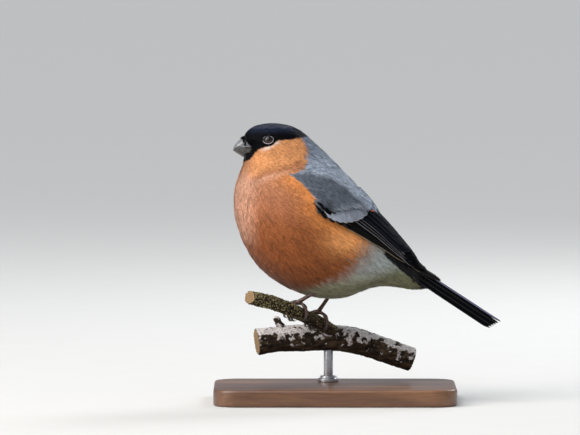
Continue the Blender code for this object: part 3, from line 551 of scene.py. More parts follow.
def markings(points):
    """The plumage's colour at places in millimetres."""
    x, side, z = points[:, 0], np.abs(points[:, 1]), points[:, 2]
    levels, tones = zip(*ROSY)
    tone = np.stack([np.interp(z, levels, shades) for shades in zip(*tones)], axis=1)

    def lay(colour, mask, most=1):
        nonlocal tone
        tone = mixed(tone, colour, mask * most)

    def patch(middle_x, spread_x, middle_z, spread_z, strength):
        return bell(x, middle_x, spread_x) * bell(z, middle_z, spread_z) * strength

    over_fold = z - read_off(FOLD, x)
    # Golden along the wing's edge, partly painted light
    gold = bell(far_from_line(points, WING_EDGE), 0, np.interp(z, *GOLD_WIDTHS))
    lay(GOLDEN, gold * step(z, *GOLD_TOP), most=0.85)
    # Cheek: its own orange, lighter in part as painted light
    lay(CHEEK, step(over_fold, 0, CHEEK_FADE) * step(x, *CHEEK_FRONT), most=0.8)
    # Painted light on the front of the breast
    front_light = step(z, *PALE_FRONT_HEIGHTS[0]) * step(z, *PALE_FRONT_HEIGHTS[1])
    lay(PAINTED_FRONT_LIGHT, step(x, *PALE_FRONT_BACK) * front_light, most=0.42)
    # Painted light on the flank
    lay(PAINTED_FLANK_LIGHT, patch(*FLANK_LIGHT_PATCH))
    # Painted highlight under the fold's ridge
    lay(CRESCENT_PAINTED_HIGHLIGHT, bell(over_fold, *CRESCENT_DROP) * bell(x, *CRESCENT_SPAN), most=0.5)
    # Painted shade along the fold
    lay(FOLD_PAINTED_SHADE, bell(far_from_line(points, FOLD), 0, FOLD_SHADOW), most=0.35)

    # The vent: white greyed by painted shade, with painted olive shadow and green reflection lower down
    mottle = np.array([noise.noise(Vector(place) / VENT_MOTTLE[0]) for place in points]) * VENT_MOTTLE[1]
    vent = step(x - read_off(VENT_EDGE, z) + mottle, *VENT_FADE)
    low = step(z - (x - 5) * LOW_VENT_SLOPE, *LOW_VENT_TOP)
    height, slope, spread = OLIVE_LINE
    olive_shadow = bell(z - slope * x, height, spread) * (x > 5) + (x - OLIVE_TAIL[0]) / OLIVE_TAIL[1]
    under = mixed(mixed(np.array(WHITE_VENT_IN_PAINTED_SHADE), LOW_VENT_PAINTED_SHADE, low), OLIVE_PAINTED_SHADOW, np.clip(olive_shadow, 0, OLIVE_MOST) * low)
    lay(under, vent)

    grey = step(-ahead_of_grey(points), 0, np.interp(z, *GREY_FADE))
    lay(NAPE, grey)
    lay(MANTLE, grey * step(z - (x + 20) * MANTLE_SLOPE, *MANTLE_TOP))
    lay(SLATE, grey * step(read_off(MANTLE_EDGE, x) - z, 0, SLATE_FADE) * step(side, *SLATE_SIDE))
    bar = step(z - read_off(COVERT_LINE, x), *BAR_TOP) * step(x, *BAR_ENDS[0]) * step(x, *BAR_ENDS[1])
    lay(PALE_BAR, grey * bar, most=0.75)
    lay(CAP, grey * patch(*WRIST_PATCH))
    upper = step(z - read_off(TAIL_SIDE, x), 0, TAIL_SIDE_FADE) * step(x, *RUMP)
    lay(CAP, upper)
    lay(RUMP_TONE, upper * step(side, *RUMP_PALE[0]) * step(x, *RUMP_PALE[1]))
    over_edge = z - read_off(CAP_EDGE, x)
    # Painted highlight under the eye
    lay(EYE_PAINTED_HIGHLIGHT, bell(over_edge, *EYE_LINE_DROP) * bell(x, *EYE_LINE_SPAN))
    cap = step(over_edge, 0, CAP_FADE) * step(x, *CAP_BACK)
    lay(CAP, cap)
    # Painted sheen on the top of the cap
    lay(CROWN_PAINTED_SHEEN, cap * step(z, *CROWN_START))
    return tone


def flecked(points):
    """Whether places are on the grey or the crown."""
    return (ahead_of_grey(points) < 0) | (points[:, 2] > CROWN_FROM)


def streaks(points):
    """Light and dark streaks along the lie of the feathers, about 1."""
    offset = points - BILL_BASE
    axis = (TAIL_END - BILL_BASE) / np.linalg.norm(TAIL_END - BILL_BASE)
    along = offset @ axis
    beside = offset - along[:, None] * axis
    beside /= np.maximum(np.linalg.norm(beside, axis=1, keepdims=True), 1e-6)
    round_axis = (beside[:, 0] + beside[:, 2]) * STREAKS, beside[:, 1] * STREAKS
    seeds = np.stack((*round_axis, along / STREAK_LENGTH), axis=1)
    streak = np.array([noise.noise(Vector(seed)) for seed in seeds])
    fleck = np.array([noise.noise(Vector(place) / SPECKLE) for place in points])
    grey = GREY_FLECKS * (fleck + GREY_STREAKS * streak)
    rosy = STREAK_DEPTH * (streak + STREAK_FLECKS * fleck)
    # On the crown the stronger flecks are painted glints
    return 1 + np.where(flecked(points), grey, rosy)[:, None]


def coloured(item, tones, attribute="Plumage"):
    """Gives a mesh a colour for each vertex."""
    layer = item.data.color_attributes.new(attribute, "FLOAT_COLOR", "POINT")
    rgba = np.ones((len(tones), 4), np.float32)
    rgba[:, :3] = tones
    layer.data.foreach_set("color", rgba.ravel())


def vertex_colour(tree, attribute="Plumage"):
    return node(tree, "ShaderNodeAttribute", attribute_name=attribute).outputs["Color"]


def plumage_finish(name, roughness, sheen, gloss):
    """Soft feather: the markings in fine and broad patches, and a velvet sheen at the edges."""
    made, tree, shader = material(
        name, roughness, Sheen_Weight=sheen, Sheen_Roughness=0.5, Specular_IOR_Level=gloss
    )
    fine = mottled(tree, vertex_colour(tree), 1400.0, 0.88, 1.1)
    dressed(tree, shader, mottled(tree, fine, 160.0, 0.88, 1.1))
    return made


rosy_finish = plumage_finish("plumage_rosy", 0.75, 0.1, 0.25)
cap_finish = plumage_finish("plumage_cap", 0.55, 0.0, 0.05)
# The skin's markings darkened by painted shade
coloured(skin, markings(skin_points) * SKIN_PAINTED_SHADE)
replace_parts(settled(skin, "skin", rosy_finish), *flesh)

# Wing feathers
# Flight feathers, tertials and the coverts over their roots, of black horn with fine pale edges.
# Each has a shaft and two webs, lies over the body in tiers, and is rooted in the shoulder.
VANE_COLUMNS = (-1.0, -0.82, -0.55, -0.25, 0.0, 0.25, 0.55, 0.82, 1.0)
VANE_BODY_ROWS = 9
VANE_TIP_ROWS = 6
VANE_THICKNESS = 0.22
VANE_SHARP = math.radians(50)  # angle, past which an edge of a vane shows
VANE_ROOT_WIDTH = 0.62  # as shares of the full width
VANE_TIP_WIDTH = 0.04
VANE_SHADES = (0.9, 1.1)  # from feather to feather
RAGGED_EDGE = 0.05
BARB_SLANT = -1.4
BARB_SPACING = 0.45
SHAFT_SIDES = 5
SHAFT_RADIUS = 0.17
SHAFT_SHADE = 0.8
ROOT_LIFT = 1.0
SHAFT_TILT = 0.6
MIDDLE_GAPS = (0.35, 0.03)  # of the first feather from the bird's middle, and more for each next
CROWN_OF_WEB = 0.05
# Over the shoulders the small coverts lie on the skin and the wings' solids together, under the
# line of the back as it shows from the side (x, z)
COVER_SMOOTHING = 9
COVER_DEPTH = 0.7
TUCK = 0.5
TUCK_FADE = 1.5
ROOF_SLOPE = 0.15  # by which the lower layers of vanes keep further under the line of the back
ROOF_LAYERS = 4.0
BACK_LINE = [
    (-12, 124.5), (-4, 117.5), (4.3, 109.0), (7.1, 105.8), (10.6, 102.5), (13.8, 99.0), (16.9, 95.1),
    (19.6, 91.2), (23.1, 86.7), (27.1, 82.6), (33.6, 74.9), (40.1, 66.5), (80, 36),
]
BLACK = paint(7, 7, 10)
GLOSS_BLACK = paint(6, 7, 14)
FRINGE = paint(116, 113, 117)
TIP_FRINGE = paint(116, 108, 92)
BAR_FRINGE = paint(196, 188, 178)
TIP_FRINGE_FROM = 0.7
END_FADE = 0.14
EDGE_SHADE = 0.9  # beside the outer edge
BOW_SHARES = (0, 0.2, 0.35, 0.47, 0.61, 0.78, 1)
STRAIGHT = [(0,) * len(BOW_SHARES)]
# Each group: count; roots and tips, lines of (x, z) from the outermost feather to the innermost;
# webs outside and inside the shaft; how far the shaft bows up, outermost and innermost; height of
# the first over the body and step to the next; tilt; rise, the share of the length over which it
# lifts from its root; where the tip begins; tones of web and edge. Some have a first_edge, the tone
# of the outermost feather's edge; edge_from and edge_to, where along the feather the edge's tone
# starts and ends; edge_columns, how many columns of the web it takes; and end_share, the share of
# the length from the tip that has the edge's tone all over
WING_GROUPS = {
    "primary": dict(
        count=8, roots=[(-12.5, 95.5), (-4, 94)],
        tips=[
            (46.5, 58.0), (49, 56.6), (48.3, 57.4), (47.2, 58.6), (43.2, 62.6), (42.1, 63.8), (41, 65.2),
            (38.4, 68),
        ],
        webs=(1.3, 2.6), bows=[(0, -2.4, -2.2, -1.6, 0.1, 1.1, 0), (0, 1.4, 2.2, 2.5, 2.5, 2.0, 0)],
        height=0.65, step=0.115, tilt=0.3, rise=0.3, tip=0.72,
        web=BLACK, edge=paint(48, 45, 43), first_edge=paint(150, 134, 108), edge_from=0.3,
    ),
    "secondary": dict(
        count=6, roots=[(-4, 94), (9.5, 94)], tips=[(43.0, 63.8), (36.2, 70.8)],
        webs=(1.7, 2.8), bows=[(0, 0.4, 0.6, 0.6, 0.5, 0.3, 0), (0, 0.7, 1.3, 1.5, 1.4, 0.8, 0)],
        height=1.6, step=0.11, tilt=0.3, rise=0.3, tip=0.86,
        web=BLACK, edge=FRINGE, edge_to=0.9,
    ),
    "tertial": dict(
        count=4, roots=[(7.5, 92.5), (12, 95.5)],
        tips=[(35.8, 71.6), (33.4, 75.0), (30.0, 79.2), (25.8, 84.2)],
        webs=(3.4, 3.4), bows=[(0, 0.3, 0.4, 0.5, 0.5, 0.4, 0)],
        height=2.5, step=0.2, tilt=0.35, rise=0.3, tip=0.84,
        web=GLOSS_BLACK, edge=paint(34, 37, 48),
    ),
    "primary_covert": dict(
        count=5, roots=[(-10, 95.5), (-6, 96)],
        tips=[(-4.4, 87.0), (-1, 85.2), (2.2, 84.0), (5.2, 83.2), (7.0, 83.6)],
        webs=(1.3, 1.8), bows=[(0, -0.3, -0.3, -0.2, 0, 0, 0)],
        height=1.7, step=0.1, tilt=0.25, rise=0.6, tip=0.7, web=BLACK, edge=paint(70, 62, 56),
    ),
    "greater_covert": dict(
        count=9, roots=[(-7.0, 99.0), (0, 99.5), (7, 99.5), (10.5, 98.5)],
        tips=[(-1.4, 87.2), (0.8, 85.4), (3.4, 84.6), (6.2, 84.8), (9.0, 85.4), (11.2, 86.6), (12.6, 88.6)],
        webs=(2.5, 2.4), height=2.5, step=0.07, tilt=0.14, rise=0.72, tip=0.84,
        web=SLATE, edge=PALE_BAR, end_share=0.5,
    ),
    "alula": dict(
        count=3, roots=[(-9.5, 96.5), (-8, 98)], tips=[(-3.0, 88.5), (-0.8, 89.0), (1.0, 90.0)],
        webs=(1.5, 1.9), bows=[(0, 0.5, 0.8, 0.8, 0.6, 0.3, 0)],
        height=2.8, step=0.12, tilt=0.2, rise=0.55, tip=0.7,
        web=BLACK, edge=BLACK, first_edge=paint(214, 214, 220), edge_from=0.74,
    ),
    "spot": dict(
        count=2, roots=[(9.6, 93.6), (10.5, 94.2)], tips=[(15.6, 88.7), (16.6, 89.3)],
        webs=(0.8, 0.9), height=3.4, step=0.15, tilt=0.2, rise=0.7, tip=0.7,
        web=GLOSS_BLACK, edge=GLOSS_BLACK, first_edge=paint(212, 102, 60), edge_from=0.84, edge_columns=5,
    ),
}


def unit(vectors):
    return vectors / np.maximum(np.linalg.norm(vectors, axis=-1, keepdims=True), 1e-9)


def over_surface(ways, normals):
    """Ways laid flat on a surface."""
    return unit(ways - normals * np.sum(ways * normals, axis=1, keepdims=True))


def nearest(tree, points):
    """The surface's nearest places and normals, in millimetres."""
    found = [tree.find_nearest(Vector(point) * MM)[:2] for point in points]
    places = np.array([tuple(place) for place, normal in found]) / MM
    return places, np.array([tuple(normal) for place, normal in found])


over_all = bmesh.new()
over_all.from_mesh(skin.data)
wing_shells = [merged(f"wing_{side_name}", growth=0) for side_name in ("left", "right")]
cover = remeshed(joined([over_all] + wing_shells, "cover_form"), SKIN_VOXEL, COVER_SMOOTHING)


def under_back(points, gap):
    """Places kept under the line of the back by a gap."""
    roof = np.minimum(points[:, 2], read_off(BACK_LINE, points[:, 0]) - gap)
    points[:, 2] = np.where(points[:, 0] > BACK_LINE[0][0], roof, points[:, 2])
    return points


place_vertices(cover, under_back(coordinates(cover), COVER_DEPTH))
cover_tree = tree_of(cover)


def tucked(points):
    """Sinks what lies under the small coverts below the form that carries them."""
    flat = points.reshape(-1, 3)
    over_line = flat[:, 2] - read_off(COVERT_LINE, flat[:, 0])
    hidden = np.flatnonzero((over_line > 0) & (flat[:, 0] < COVERT_LINE[-1][0]))
    places, normals = nearest(cover_tree, flat[hidden])
    gap = np.sum((flat[hidden] - places) * normals, axis=1)
    gap += TUCK * np.clip(over_line[hidden] / TUCK_FADE, 0, 1)
    flat[hidden] -= normals * np.clip(gap, 0, None)[:, None]
    return flat.reshape(points.shape)


def along_line(line, share):
    """The point at a share of the way along a line of evenly spaced points."""
    reach = share * (len(line) - 1)
    return np.array([np.interp(reach, range(len(line)), column) for column in zip(*line)])


def on_side(x, z):
    """The place on the body's left side that shows at x, z."""
    hit = body_tree.ray_cast(Vector((x, -60, z)) * MM, SIDEWAYS)[0]
    hit = hit or body_tree.find_nearest(Vector((x, -4, z)) * MM)[0]
    return np.array(hit) / MM


def lifted(points, height, margin):
    """Places over the nearest points of the body, kept on the bird's left half and under the
    line of the back."""
    places, normals = nearest(body_tree, points)
    height = np.broadcast_to(height, len(points))
    places = places + normals * height[:, None]
    places[:, 1] = np.minimum(places[:, 1], -margin)
    return under_back(places, ROOF_SLOPE * (ROOF_LAYERS - height)), normals


def vane_rows(tip_start):
    """Shares of the way along a feather, close together in its tip, and its width there."""
    body_shares = np.linspace(0, tip_start, VANE_BODY_ROWS, endpoint=False)
    turn = np.linspace(0, math.pi / 2, VANE_TIP_ROWS)
    shares = np.concatenate((body_shares, tip_start + (1 - tip_start) * np.sin(turn)))
    body_widths = np.minimum(1, VANE_ROOT_WIDTH + body_shares)
    widths = np.concatenate((body_widths, np.cos(turn) * (1 - VANE_TIP_WIDTH) + VANE_TIP_WIDTH))
    return shares, np.minimum(widths, 1)


class Vanes:
    """Gathers feathers of two webs and a shaft, and makes one mesh of them."""

    def __init__(self):
        self.points, self.faces, self.tones, self.flats = [], [], [], []
        self.count = 0

    def add(self, points, faces, tones, flats):
        self.points.append(points)
        self.faces += [tuple(corner + self.count for corner in face) for face in faces]
        self.tones.append(tones)
        self.flats.append(flats)
        self.count += len(points)

    def sheet(self, top, bottom, tones, flats):
        """A closed sheet between two grids of points, rows by columns."""
        rows, columns = top.shape[:2]
        under = rows * columns
        faces = []
        for row in range(rows - 1):
            for column in range(columns - 1):
                a = row * columns + column
                b, c, d = a + 1, a + columns + 1, a + columns
                faces += [(a, b, c, d), (under + a, under + d, under + c, under + b)]
        rim = [row * columns for row in range(rows)]
        rim += [under - columns + column for column in range(1, columns)]
        rim += [row * columns + columns - 1 for row in range(rows - 2, -1, -1)]
        rim += list(range(columns - 2, 0, -1))
        faces += [(a, b, under + b, under + a) for a, b in zip(rim, rim[1:] + rim[:1])]
        points = np.concatenate((top.reshape(-1, 3), bottom.reshape(-1, 3)))
        tones, flats = tones.reshape(-1, 3), flats.reshape(-1, 2)
        self.add(points, faces, np.tile(tones, (2, 1)), np.tile(flats, (2, 1)))

    def shaft(self, line, across, up, radii, tone):
        """A tapered rib along a line of points."""
        turns = np.arange(SHAFT_SIDES) * 2 * math.pi / SHAFT_SIDES
        rings = [line + (across * math.cos(turn) + up * math.sin(turn)) * radii[:, None] for turn in turns]
        points = np.stack(rings, axis=1).reshape(-1, 3)
        faces = []
        for row in range(0, len(points) - SHAFT_SIDES, SHAFT_SIDES):
            for side in range(SHAFT_SIDES):
                a, b = row + side, row + (side + 1) % SHAFT_SIDES
                faces.append((a, b, b + SHAFT_SIDES, a + SHAFT_SIDES))
        faces += [tuple(reversed(range(SHAFT_SIDES))), tuple(range(len(points) - SHAFT_SIDES, len(points)))]
        self.add(points, faces, np.tile(tone, (len(points), 1)), np.zeros((len(points), 2)))

    def made(self, name, mirror=False):
        mesh = bpy.data.meshes.new(name)
        points = np.concatenate(self.points) * MM * ((1, -1, 1) if mirror else (1, 1, 1))
        mesh.from_pydata(points.tolist(), [], self.faces)
        if mirror:
            mesh.flip_normals()
        mesh.shade_smooth()
        mesh.set_sharp_from_angle(angle=VANE_SHARP)
        flats = np.concatenate(self.flats)
        corners = np.empty(len(mesh.loops), np.int32)
        mesh.loops.foreach_get("vertex_index", corners)
        mesh.uv_layers.new(name="Vane").data.foreach_set("uv", flats[corners].astype(np.float32).ravel())
        made = bpy.data.objects.new(name, mesh)
        scene.collection.objects.link(made)
        bm = bmesh.new()
        bm.from_mesh(mesh)
        bmesh.ops.recalc_face_normals(bm, faces=bm.faces)
        bm.to_mesh(mesh)
        bm.free()
        coloured(made, np.concatenate(self.tones))
        return made


def feather_tones(shares, group, first, rng):
    """Tones of a feather's grid: dark webs, paler outer edge, and a tip of its own colour."""
    grid = np.empty((len(shares), len(VANE_COLUMNS), 3))
    barred = "end_share" in group
    end = step(shares, 1 - group["end_share"], END_FADE) if barred else np.zeros(len(shares))
    grid[:] = mixed(np.array(group["web"]), group["edge"], end)[:, None, :] * rng.uniform(*VANE_SHADES)
    edge = group["first_edge"] if first and "first_edge" in group else group["edge"]
    edged = (shares > group.get("edge_from", 0)) & (shares < group.get("edge_to", 2))
    grid[edged, -group.get("edge_columns", 1):] = edge
    grid[:, -2] = grid[:, -2] * EDGE_SHADE
    if group["edge"] is not BLACK and not barred and "edge_to" not in group:
        grid[shares > TIP_FRINGE_FROM, 0] = TIP_FRINGE if group["count"] > 5 else edge
    if barred:
        grid[-1] = BAR_FRINGE
        grid[-2:, (0, -1)] = BAR_FRINGE
    return grid


def wing_feather(vanes, group, index, margin, rng):
    """One feather laid over the body from its root to its tip."""
    share = index / (group["count"] - 1)
    root = on_side(*along_line(group["roots"], share))
    tip = on_side(*along_line(group["tips"], share))
    height = group["height"] + group["step"] * index
    shares, widths = vane_rows(group["tip"])
    raised = root + (tip - root) * shares[:, None]
    bows = group.get("bows", STRAIGHT)
    bow = np.array(bows[0]) * (1 - share) + np.array(bows[-1]) * share
    raised[:, 2] += np.interp(shares, BOW_SHARES, bow)
    middle, normals = lifted(raised, 0, margin)
    across = unit(np.cross(tip - root, normals))
    rise = np.minimum(1, shares / group["rise"])
    low = ROOT_LIFT + (height - ROOT_LIFT) * rise
    columns = np.array(VANE_COLUMNS)
    webs = np.where(columns > 0, group["webs"][0], group["webs"][1])
    tilts = np.where(columns > 0, SHAFT_TILT + (1 - SHAFT_TILT) * columns, SHAFT_TILT * (1 + columns))
    ragged = rng.uniform(-RAGGED_EDGE, RAGGED_EDGE, (len(shares), len(columns)))
    reach = columns * webs * widths[:, None] + ragged * (np.abs(columns) == 1)
    spots = middle[:, None, :] + across[:, None, :] * reach[..., None]
    heights = low[:, None] + group["tilt"] * tilts * rise[:, None] + CROWN_OF_WEB * (1 - columns**2)
    top, bottom = (
        tucked(lifted(spots.reshape(-1, 3), levels.ravel(), margin)[0].reshape(spots.shape))
        for levels in (heights + VANE_THICKNESS, heights)
    )
    bottom -= normals[:, None, :] * VANE_THICKNESS / 2
    along = np.broadcast_to(shares[:, None] * np.linalg.norm(tip - root), reach.shape)
    tones = feather_tones(shares, group, index == 0, rng)
    vanes.sheet(top, bottom, tones, np.stack((reach, along), axis=-1))
    rib = top[:-2, len(columns) // 2]
    radii = SHAFT_RADIUS * (1.1 - shares[:-2])
    vanes.shaft(rib, across[:-2], normals[:-2], radii, np.array(group["web"]) * SHAFT_SHADE)


def vane_finish(name, roughness, gloss):
    """Horny feather: barbs slanting from the shaft to the edge, as fine ridges with a dull shine."""
    made, tree, shader = material(name, roughness, Specular_IOR_Level=gloss)
    flat = node(tree, "ShaderNodeUVMap", uv_map="Vane").outputs["UV"]
    parts = node(tree, "ShaderNodeSeparateXYZ", {"Vector": flat}).outputs
    away = node(tree, "ShaderNodeMath", {0: parts["X"]}, operation="ABSOLUTE")
    slant = node(tree, "ShaderNodeMath", {0: away.outputs[0], 2: parts["Y"]}, operation="MULTIPLY_ADD")
    slant.inputs[1].default_value = BARB_SLANT
    turns = node(tree, "ShaderNodeMath", {0: slant.outputs[0]}, operation="MULTIPLY")
    turns.inputs[1].default_value = 2 * math.pi / BARB_SPACING
    wave = node(tree, "ShaderNodeMath", {0: turns.outputs[0]}, operation="SINE")
    tone = mottled(tree, vertex_colour(tree), 300.0, 0.82, 1.2)
    dressed(tree, shader, tone, wave.outputs[0], Strength=0.15, Distance=0.00006)
    return made


wing_finish = vane_finish("vane_wing", 0.62, 0.035)
rng = np.random.default_rng(5)
wing = Vanes()
done = 0
for group in WING_GROUPS.values():
    for index in range(group["count"]):
        wing_feather(wing, group, index, MIDDLE_GAPS[0] + MIDDLE_GAPS[1] * done, rng)
        done += 1
vane_pieces = []
for side_name, mirror in (("left", False), ("right", True)):
    piece_name = f"wing_feathers_{side_name}"
    vane_pieces.append(settled(wing.made(piece_name, mirror), piece_name, wing_finish))
    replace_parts(vane_pieces[-1], f"wing_{side_name}")

# Tail feathers
# Twelve black feathers in a closed tail, with a painted violet sheen on the middle pair along the
# tail's top edge. They lie in six layers, the middle pair on top, with the covert feathers of rump
# and vent over their roots.
TAIL_ROOT = np.array((23.0, 0, 69.8))
TAIL_TIP = np.array((76.2, 0, 35.4))
TAIL_PAIRS = 6
TAIL_LAYER = 0.8
TAIL_ROOF = 1.5
TAIL_TILT = 0.09
TAIL_HALF_WIDTH = 8.5
TAIL_THICKNESS = 0.5
TAIL_OUTER_EDGES = (5.4, 0.62)
TAIL_INNER_EDGES = (-1.6, 0.35)
TAIL_SHAFTS = (0.4, 0.03)
TAIL_STEP_BACK = 0.55
TAIL_NARROW = 0.72
TAIL_START = 0.2  # of the way from the root, where the coverts hide them
TAIL_END_FROM = 0.93  # where the rounded tip begins
TAIL_LEAST_WIDTH = 0.12
TAIL_VANE = 0.3  # thickness of a feather
TAIL_TOP_VANE = 0.35  # and what the middle pair has more, up to the tip
TAIL_SHAFT_RADIUS = 0.3
TAIL_SHADES = (0.85, 1.15)
TAIL_BLACK = paint(6, 6, 8)
# Painted sheen: violet along the top edge of the tail
TAIL_PAINTED_SHEEN = paint(88, 88, 136)
TAIL_GREY = paint(42, 42, 45)
TAIL_CAMBER = 0.1
# By how much a feather's edges fall back at the tip, the column that reaches furthest, and from where
TAIL_NOTCH = 1.6
TAIL_PEAK = 0.3
TAIL_NOTCH_FROM = 0.95

tail_way = unit(TAIL_TIP - TAIL_ROOT)
tail_up = np.cross(tail_way, (0, 1, 0))
tail_up = tail_up * np.sign(tail_up[2])
tail = Vanes()
for pair in range(TAIL_PAIRS):
    outer_edge = TAIL_OUTER_EDGES[0] + TAIL_OUTER_EDGES[1] * pair
    inner_edge = TAIL_INNER_EDGES[min(pair, 1)]
    shaft_at = outer_edge - (outer_edge - inner_edge) * (TAIL_SHAFTS[0] - TAIL_SHAFTS[1] * pair)
    top_level = (TAIL_LAYER * (TAIL_PAIRS - 1) + TAIL_THICKNESS + TAIL_ROOF) / 2 - TAIL_LAYER * pair
    length = np.linalg.norm(TAIL_TIP - TAIL_ROOT) - TAIL_STEP_BACK * pair
    shares, widths = vane_rows(TAIL_END_FROM)
    shares = TAIL_START + (1 - TAIL_START) * shares
    widths = np.maximum(widths, TAIL_LEAST_WIDTH)
    columns = np.array(VANE_COLUMNS)
    edges = np.where(columns > 0, outer_edge - shaft_at, shaft_at - inner_edge)
    narrow = (TAIL_NARROW + (1 - TAIL_NARROW) * shares)[:, None]
    for hand in (-1, 1):
        across = shaft_at * narrow + columns * edges * widths[:, None]
        level = top_level - TAIL_ROOF * (across / TAIL_HALF_WIDTH) ** 2
        level = level + (TAIL_TILT * across if pair == 0 else 0) - TAIL_CAMBER * columns**2
        notch = TAIL_NOTCH * np.abs(columns - TAIL_PEAK) * (shares[:, None] > TAIL_NOTCH_FROM)
        reach = shares[:, None] * length - notch
        top = TAIL_ROOT + tail_way * reach[..., None] + tail_up * level[..., None]
        top = top + np.array((0, hand, 0)) * across[..., None]
        thick = TAIL_VANE + (TAIL_TOP_VANE if pair == 0 else 0) * (shares < TAIL_END_FROM)
        bottom = top - tail_up * thick[:, None, None]
        tones = np.empty(top.shape)
        tones[:] = np.array(TAIL_BLACK) * rng.uniform(*TAIL_SHADES)
        # The middle pair carries the painted violet sheen
        if pair == 0:
            tones[:, 6:8] = TAIL_PAINTED_SHEEN
        elif pair % 2:
            tones[:, 8:] = TAIL_GREY
        flats = np.stack((across - shaft_at, np.broadcast_to(reach, across.shape)), axis=-1)
        tail.sheet(top, bottom, tones, flats)
        across, up = (np.tile(way, (len(shares) - 1, 1)) for way in ((0.0, 1.0, 0.0), tail_up))
        radii = TAIL_SHAFT_RADIUS * (1.12 - shares[:-1])
        tail.shaft(top[:-1, 4], across, up, radii, np.array(TAIL_BLACK))
tail_finish = vane_finish("vane_tail", 0.5, 0.07)
tail_piece = settled(tail.made("tail_feathers"), "tail_feathers", tail_finish)
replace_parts(tail_piece, "tail")
vane_pieces.append(tail_piece)

# Small feathers
# The contour feathers of head, neck, body and shoulders. Each is a fan of narrow barbs on one
# root, laid over the skin along the way that the plumage lies, from the bill to the tail.
SPINE = np.array([(-46, 0, 119), (-30, 0, 120), (-20, 0, 108), (-2, 0, 84), (22, 0, 64), (48, 0, 54)], float)
# By the distance from the bill's base: spacing, length and width of a feather, and its lift
SIZE_FROM = (3, 8, 16, 26, 34, 50, 80, 100)
SPACINGS = (0.40, 0.46, 0.60, 0.78, 0.92, 1.08, 1.2, 1.25)
LENGTHS = (1.1, 1.7, 2.8, 4.0, 5.4, 7.2, 8.5, 9.0)
WIDTHS = (0.42, 0.60, 0.95, 1.35, 1.8, 2.3, 2.7, 2.8)
LIFTS = (0.22, 0.30, 0.42, 0.55, 0.70, 0.85, 1.05, 1.1)
BARBS = 8
BARB_SHADES = (0.15, 0.06)  # how much single barbs differ, in the grey and elsewhere
CLUMPS = 4
CLUMPING = 0.4  # how far a feather's barbs draw together at their tips
ROWS = (0.0, 0.4, 0.74, 1.0)
ROW_SPREADS = (0.35, 0.85, 1.0, 0.94)
ROW_WIDTHS = (0.8, 1.1, 0.75)
# Painted shade: each barb darker towards its root, under the feathers over it
ROW_PAINTED_SHADES = (0.60, 0.82, 0.98, 1.05)
ROW_LIFT = 0.8  # power of the way along a feather by which it lifts
BARB_EDGE = 0.35  # by which a barb's normal leans to its edges
WALK_STEPS = 4
PATCH = 0.003  # a feather's share of the unwrapped skin
# How single feathers, the clumps in them and their barbs differ
SIZE_SPREAD = (0.85, 1.15)
FEATHER_SHADE = 0.04
CLUMP_SHIFT = 0.12
CLUMP_REACH = (0.62, 1.04)
CLUMP_LIFT = (0.7, 1.2)
BARB_SHIFT = 0.1
BARB_REACH = (0.88, 1.06)
BARB_LIFT = (0.9, 1.1)
BARB_ROLL = 0.2
ROUNDING = 0.22  # by which a feather's outer barbs are shorter
DROOP = 0.25  # and lower
LEAST_REACH = 0.2
ROOT_RISE = 0.05
SCATTER = 1.8  # places tried for each that is kept
SCATTER_GAP = 0.8
EYE_CLEARANCE = 2.6
EYE_SHRINK = ((2.6, 6), (0.62, 1))  # size of the feathers by the distance from an eye
BILL_CLEARANCE = 0.3
WING_COVER = 5.0  # plumage this near under the vanes of wing and tail is left out
WING_FROM = -12  # x
FEATHER_AHEAD = 6
ROOT_DEPTH = 0.4


def lie(points, normals):
    """The way the plumage lies: over the surface from the bill to the tail."""
    return over_surface(unit(points - BILL_BASE) + unit(TAIL_END - points), normals)


def unwrapped(points):
    """Places on the skin laid flat: round the spine, and along it from bill to tail."""
    best = np.full(len(points), np.inf)
    along = np.zeros(len(points))
    around = np.zeros(len(points))
    lengths = np.linalg.norm(np.diff(SPINE, axis=0), axis=1)
    passed = 0.0
    for start, end, length in zip(SPINE[:-1], SPINE[1:], lengths):
        way = (end - start) / length
        reach = np.clip((points - start) @ way, 0, length)
        offset = points - start - reach[:, None] * way
        gap = np.linalg.norm(offset, axis=1)
        back = np.array((-way[2], 0, way[0])) * (1 if way[0] > 0 else -1)
        closer = gap < best
        best = np.where(closer, gap, best)
        along = np.where(closer, (passed + reach) / lengths.sum(), along)
        angle = np.arctan2(offset[:, 1], offset @ back) / (2 * math.pi) + 0.5
        around = np.where(closer, angle, around)
        passed += length
    return np.stack((around, along), axis=1)


def scattered(item, spacing, seed):
    """Root places on a mesh, spread evenly and no nearer than the local spacing."""
    rng = np.random.default_rng(seed)
    item.data.calc_loop_triangles()
    corners = np.empty(len(item.data.loop_triangles) * 3, np.int32)
    item.data.loop_triangles.foreach_get("vertices", corners)
    triangles = coordinates(item)[corners.reshape(-1, 3)]
    edge_a = triangles[:, 1] - triangles[:, 0]
    edge_b = triangles[:, 2] - triangles[:, 0]
    area = np.linalg.norm(np.cross(edge_a, edge_b), axis=1) / 2
    gap = spacing(triangles.mean(axis=1))
    weight = area / gap**2
    count = int(weight.sum() * SCATTER)
    pick = rng.choice(len(area), count, p=weight / weight.sum())
    first, second = rng.random((2, count))
    outside = first + second > 1
    first[outside], second[outside] = 1 - first[outside], 1 - second[outside]
    points = triangles[pick, 0] + first[:, None] * edge_a[pick] + second[:, None] * edge_b[pick]
    tree = KDTree(count)
    for index, point in enumerate(points):
        tree.insert(point, index)
    tree.balance()
    kept = np.ones(count, bool)
    for index in range(count):
        if kept[index]:
            for _, other, _ in tree.find_range(points[index], gap[pick[index]] * SCATTER_GAP):
                if other > index:
                    kept[other] = False
    return points[kept]


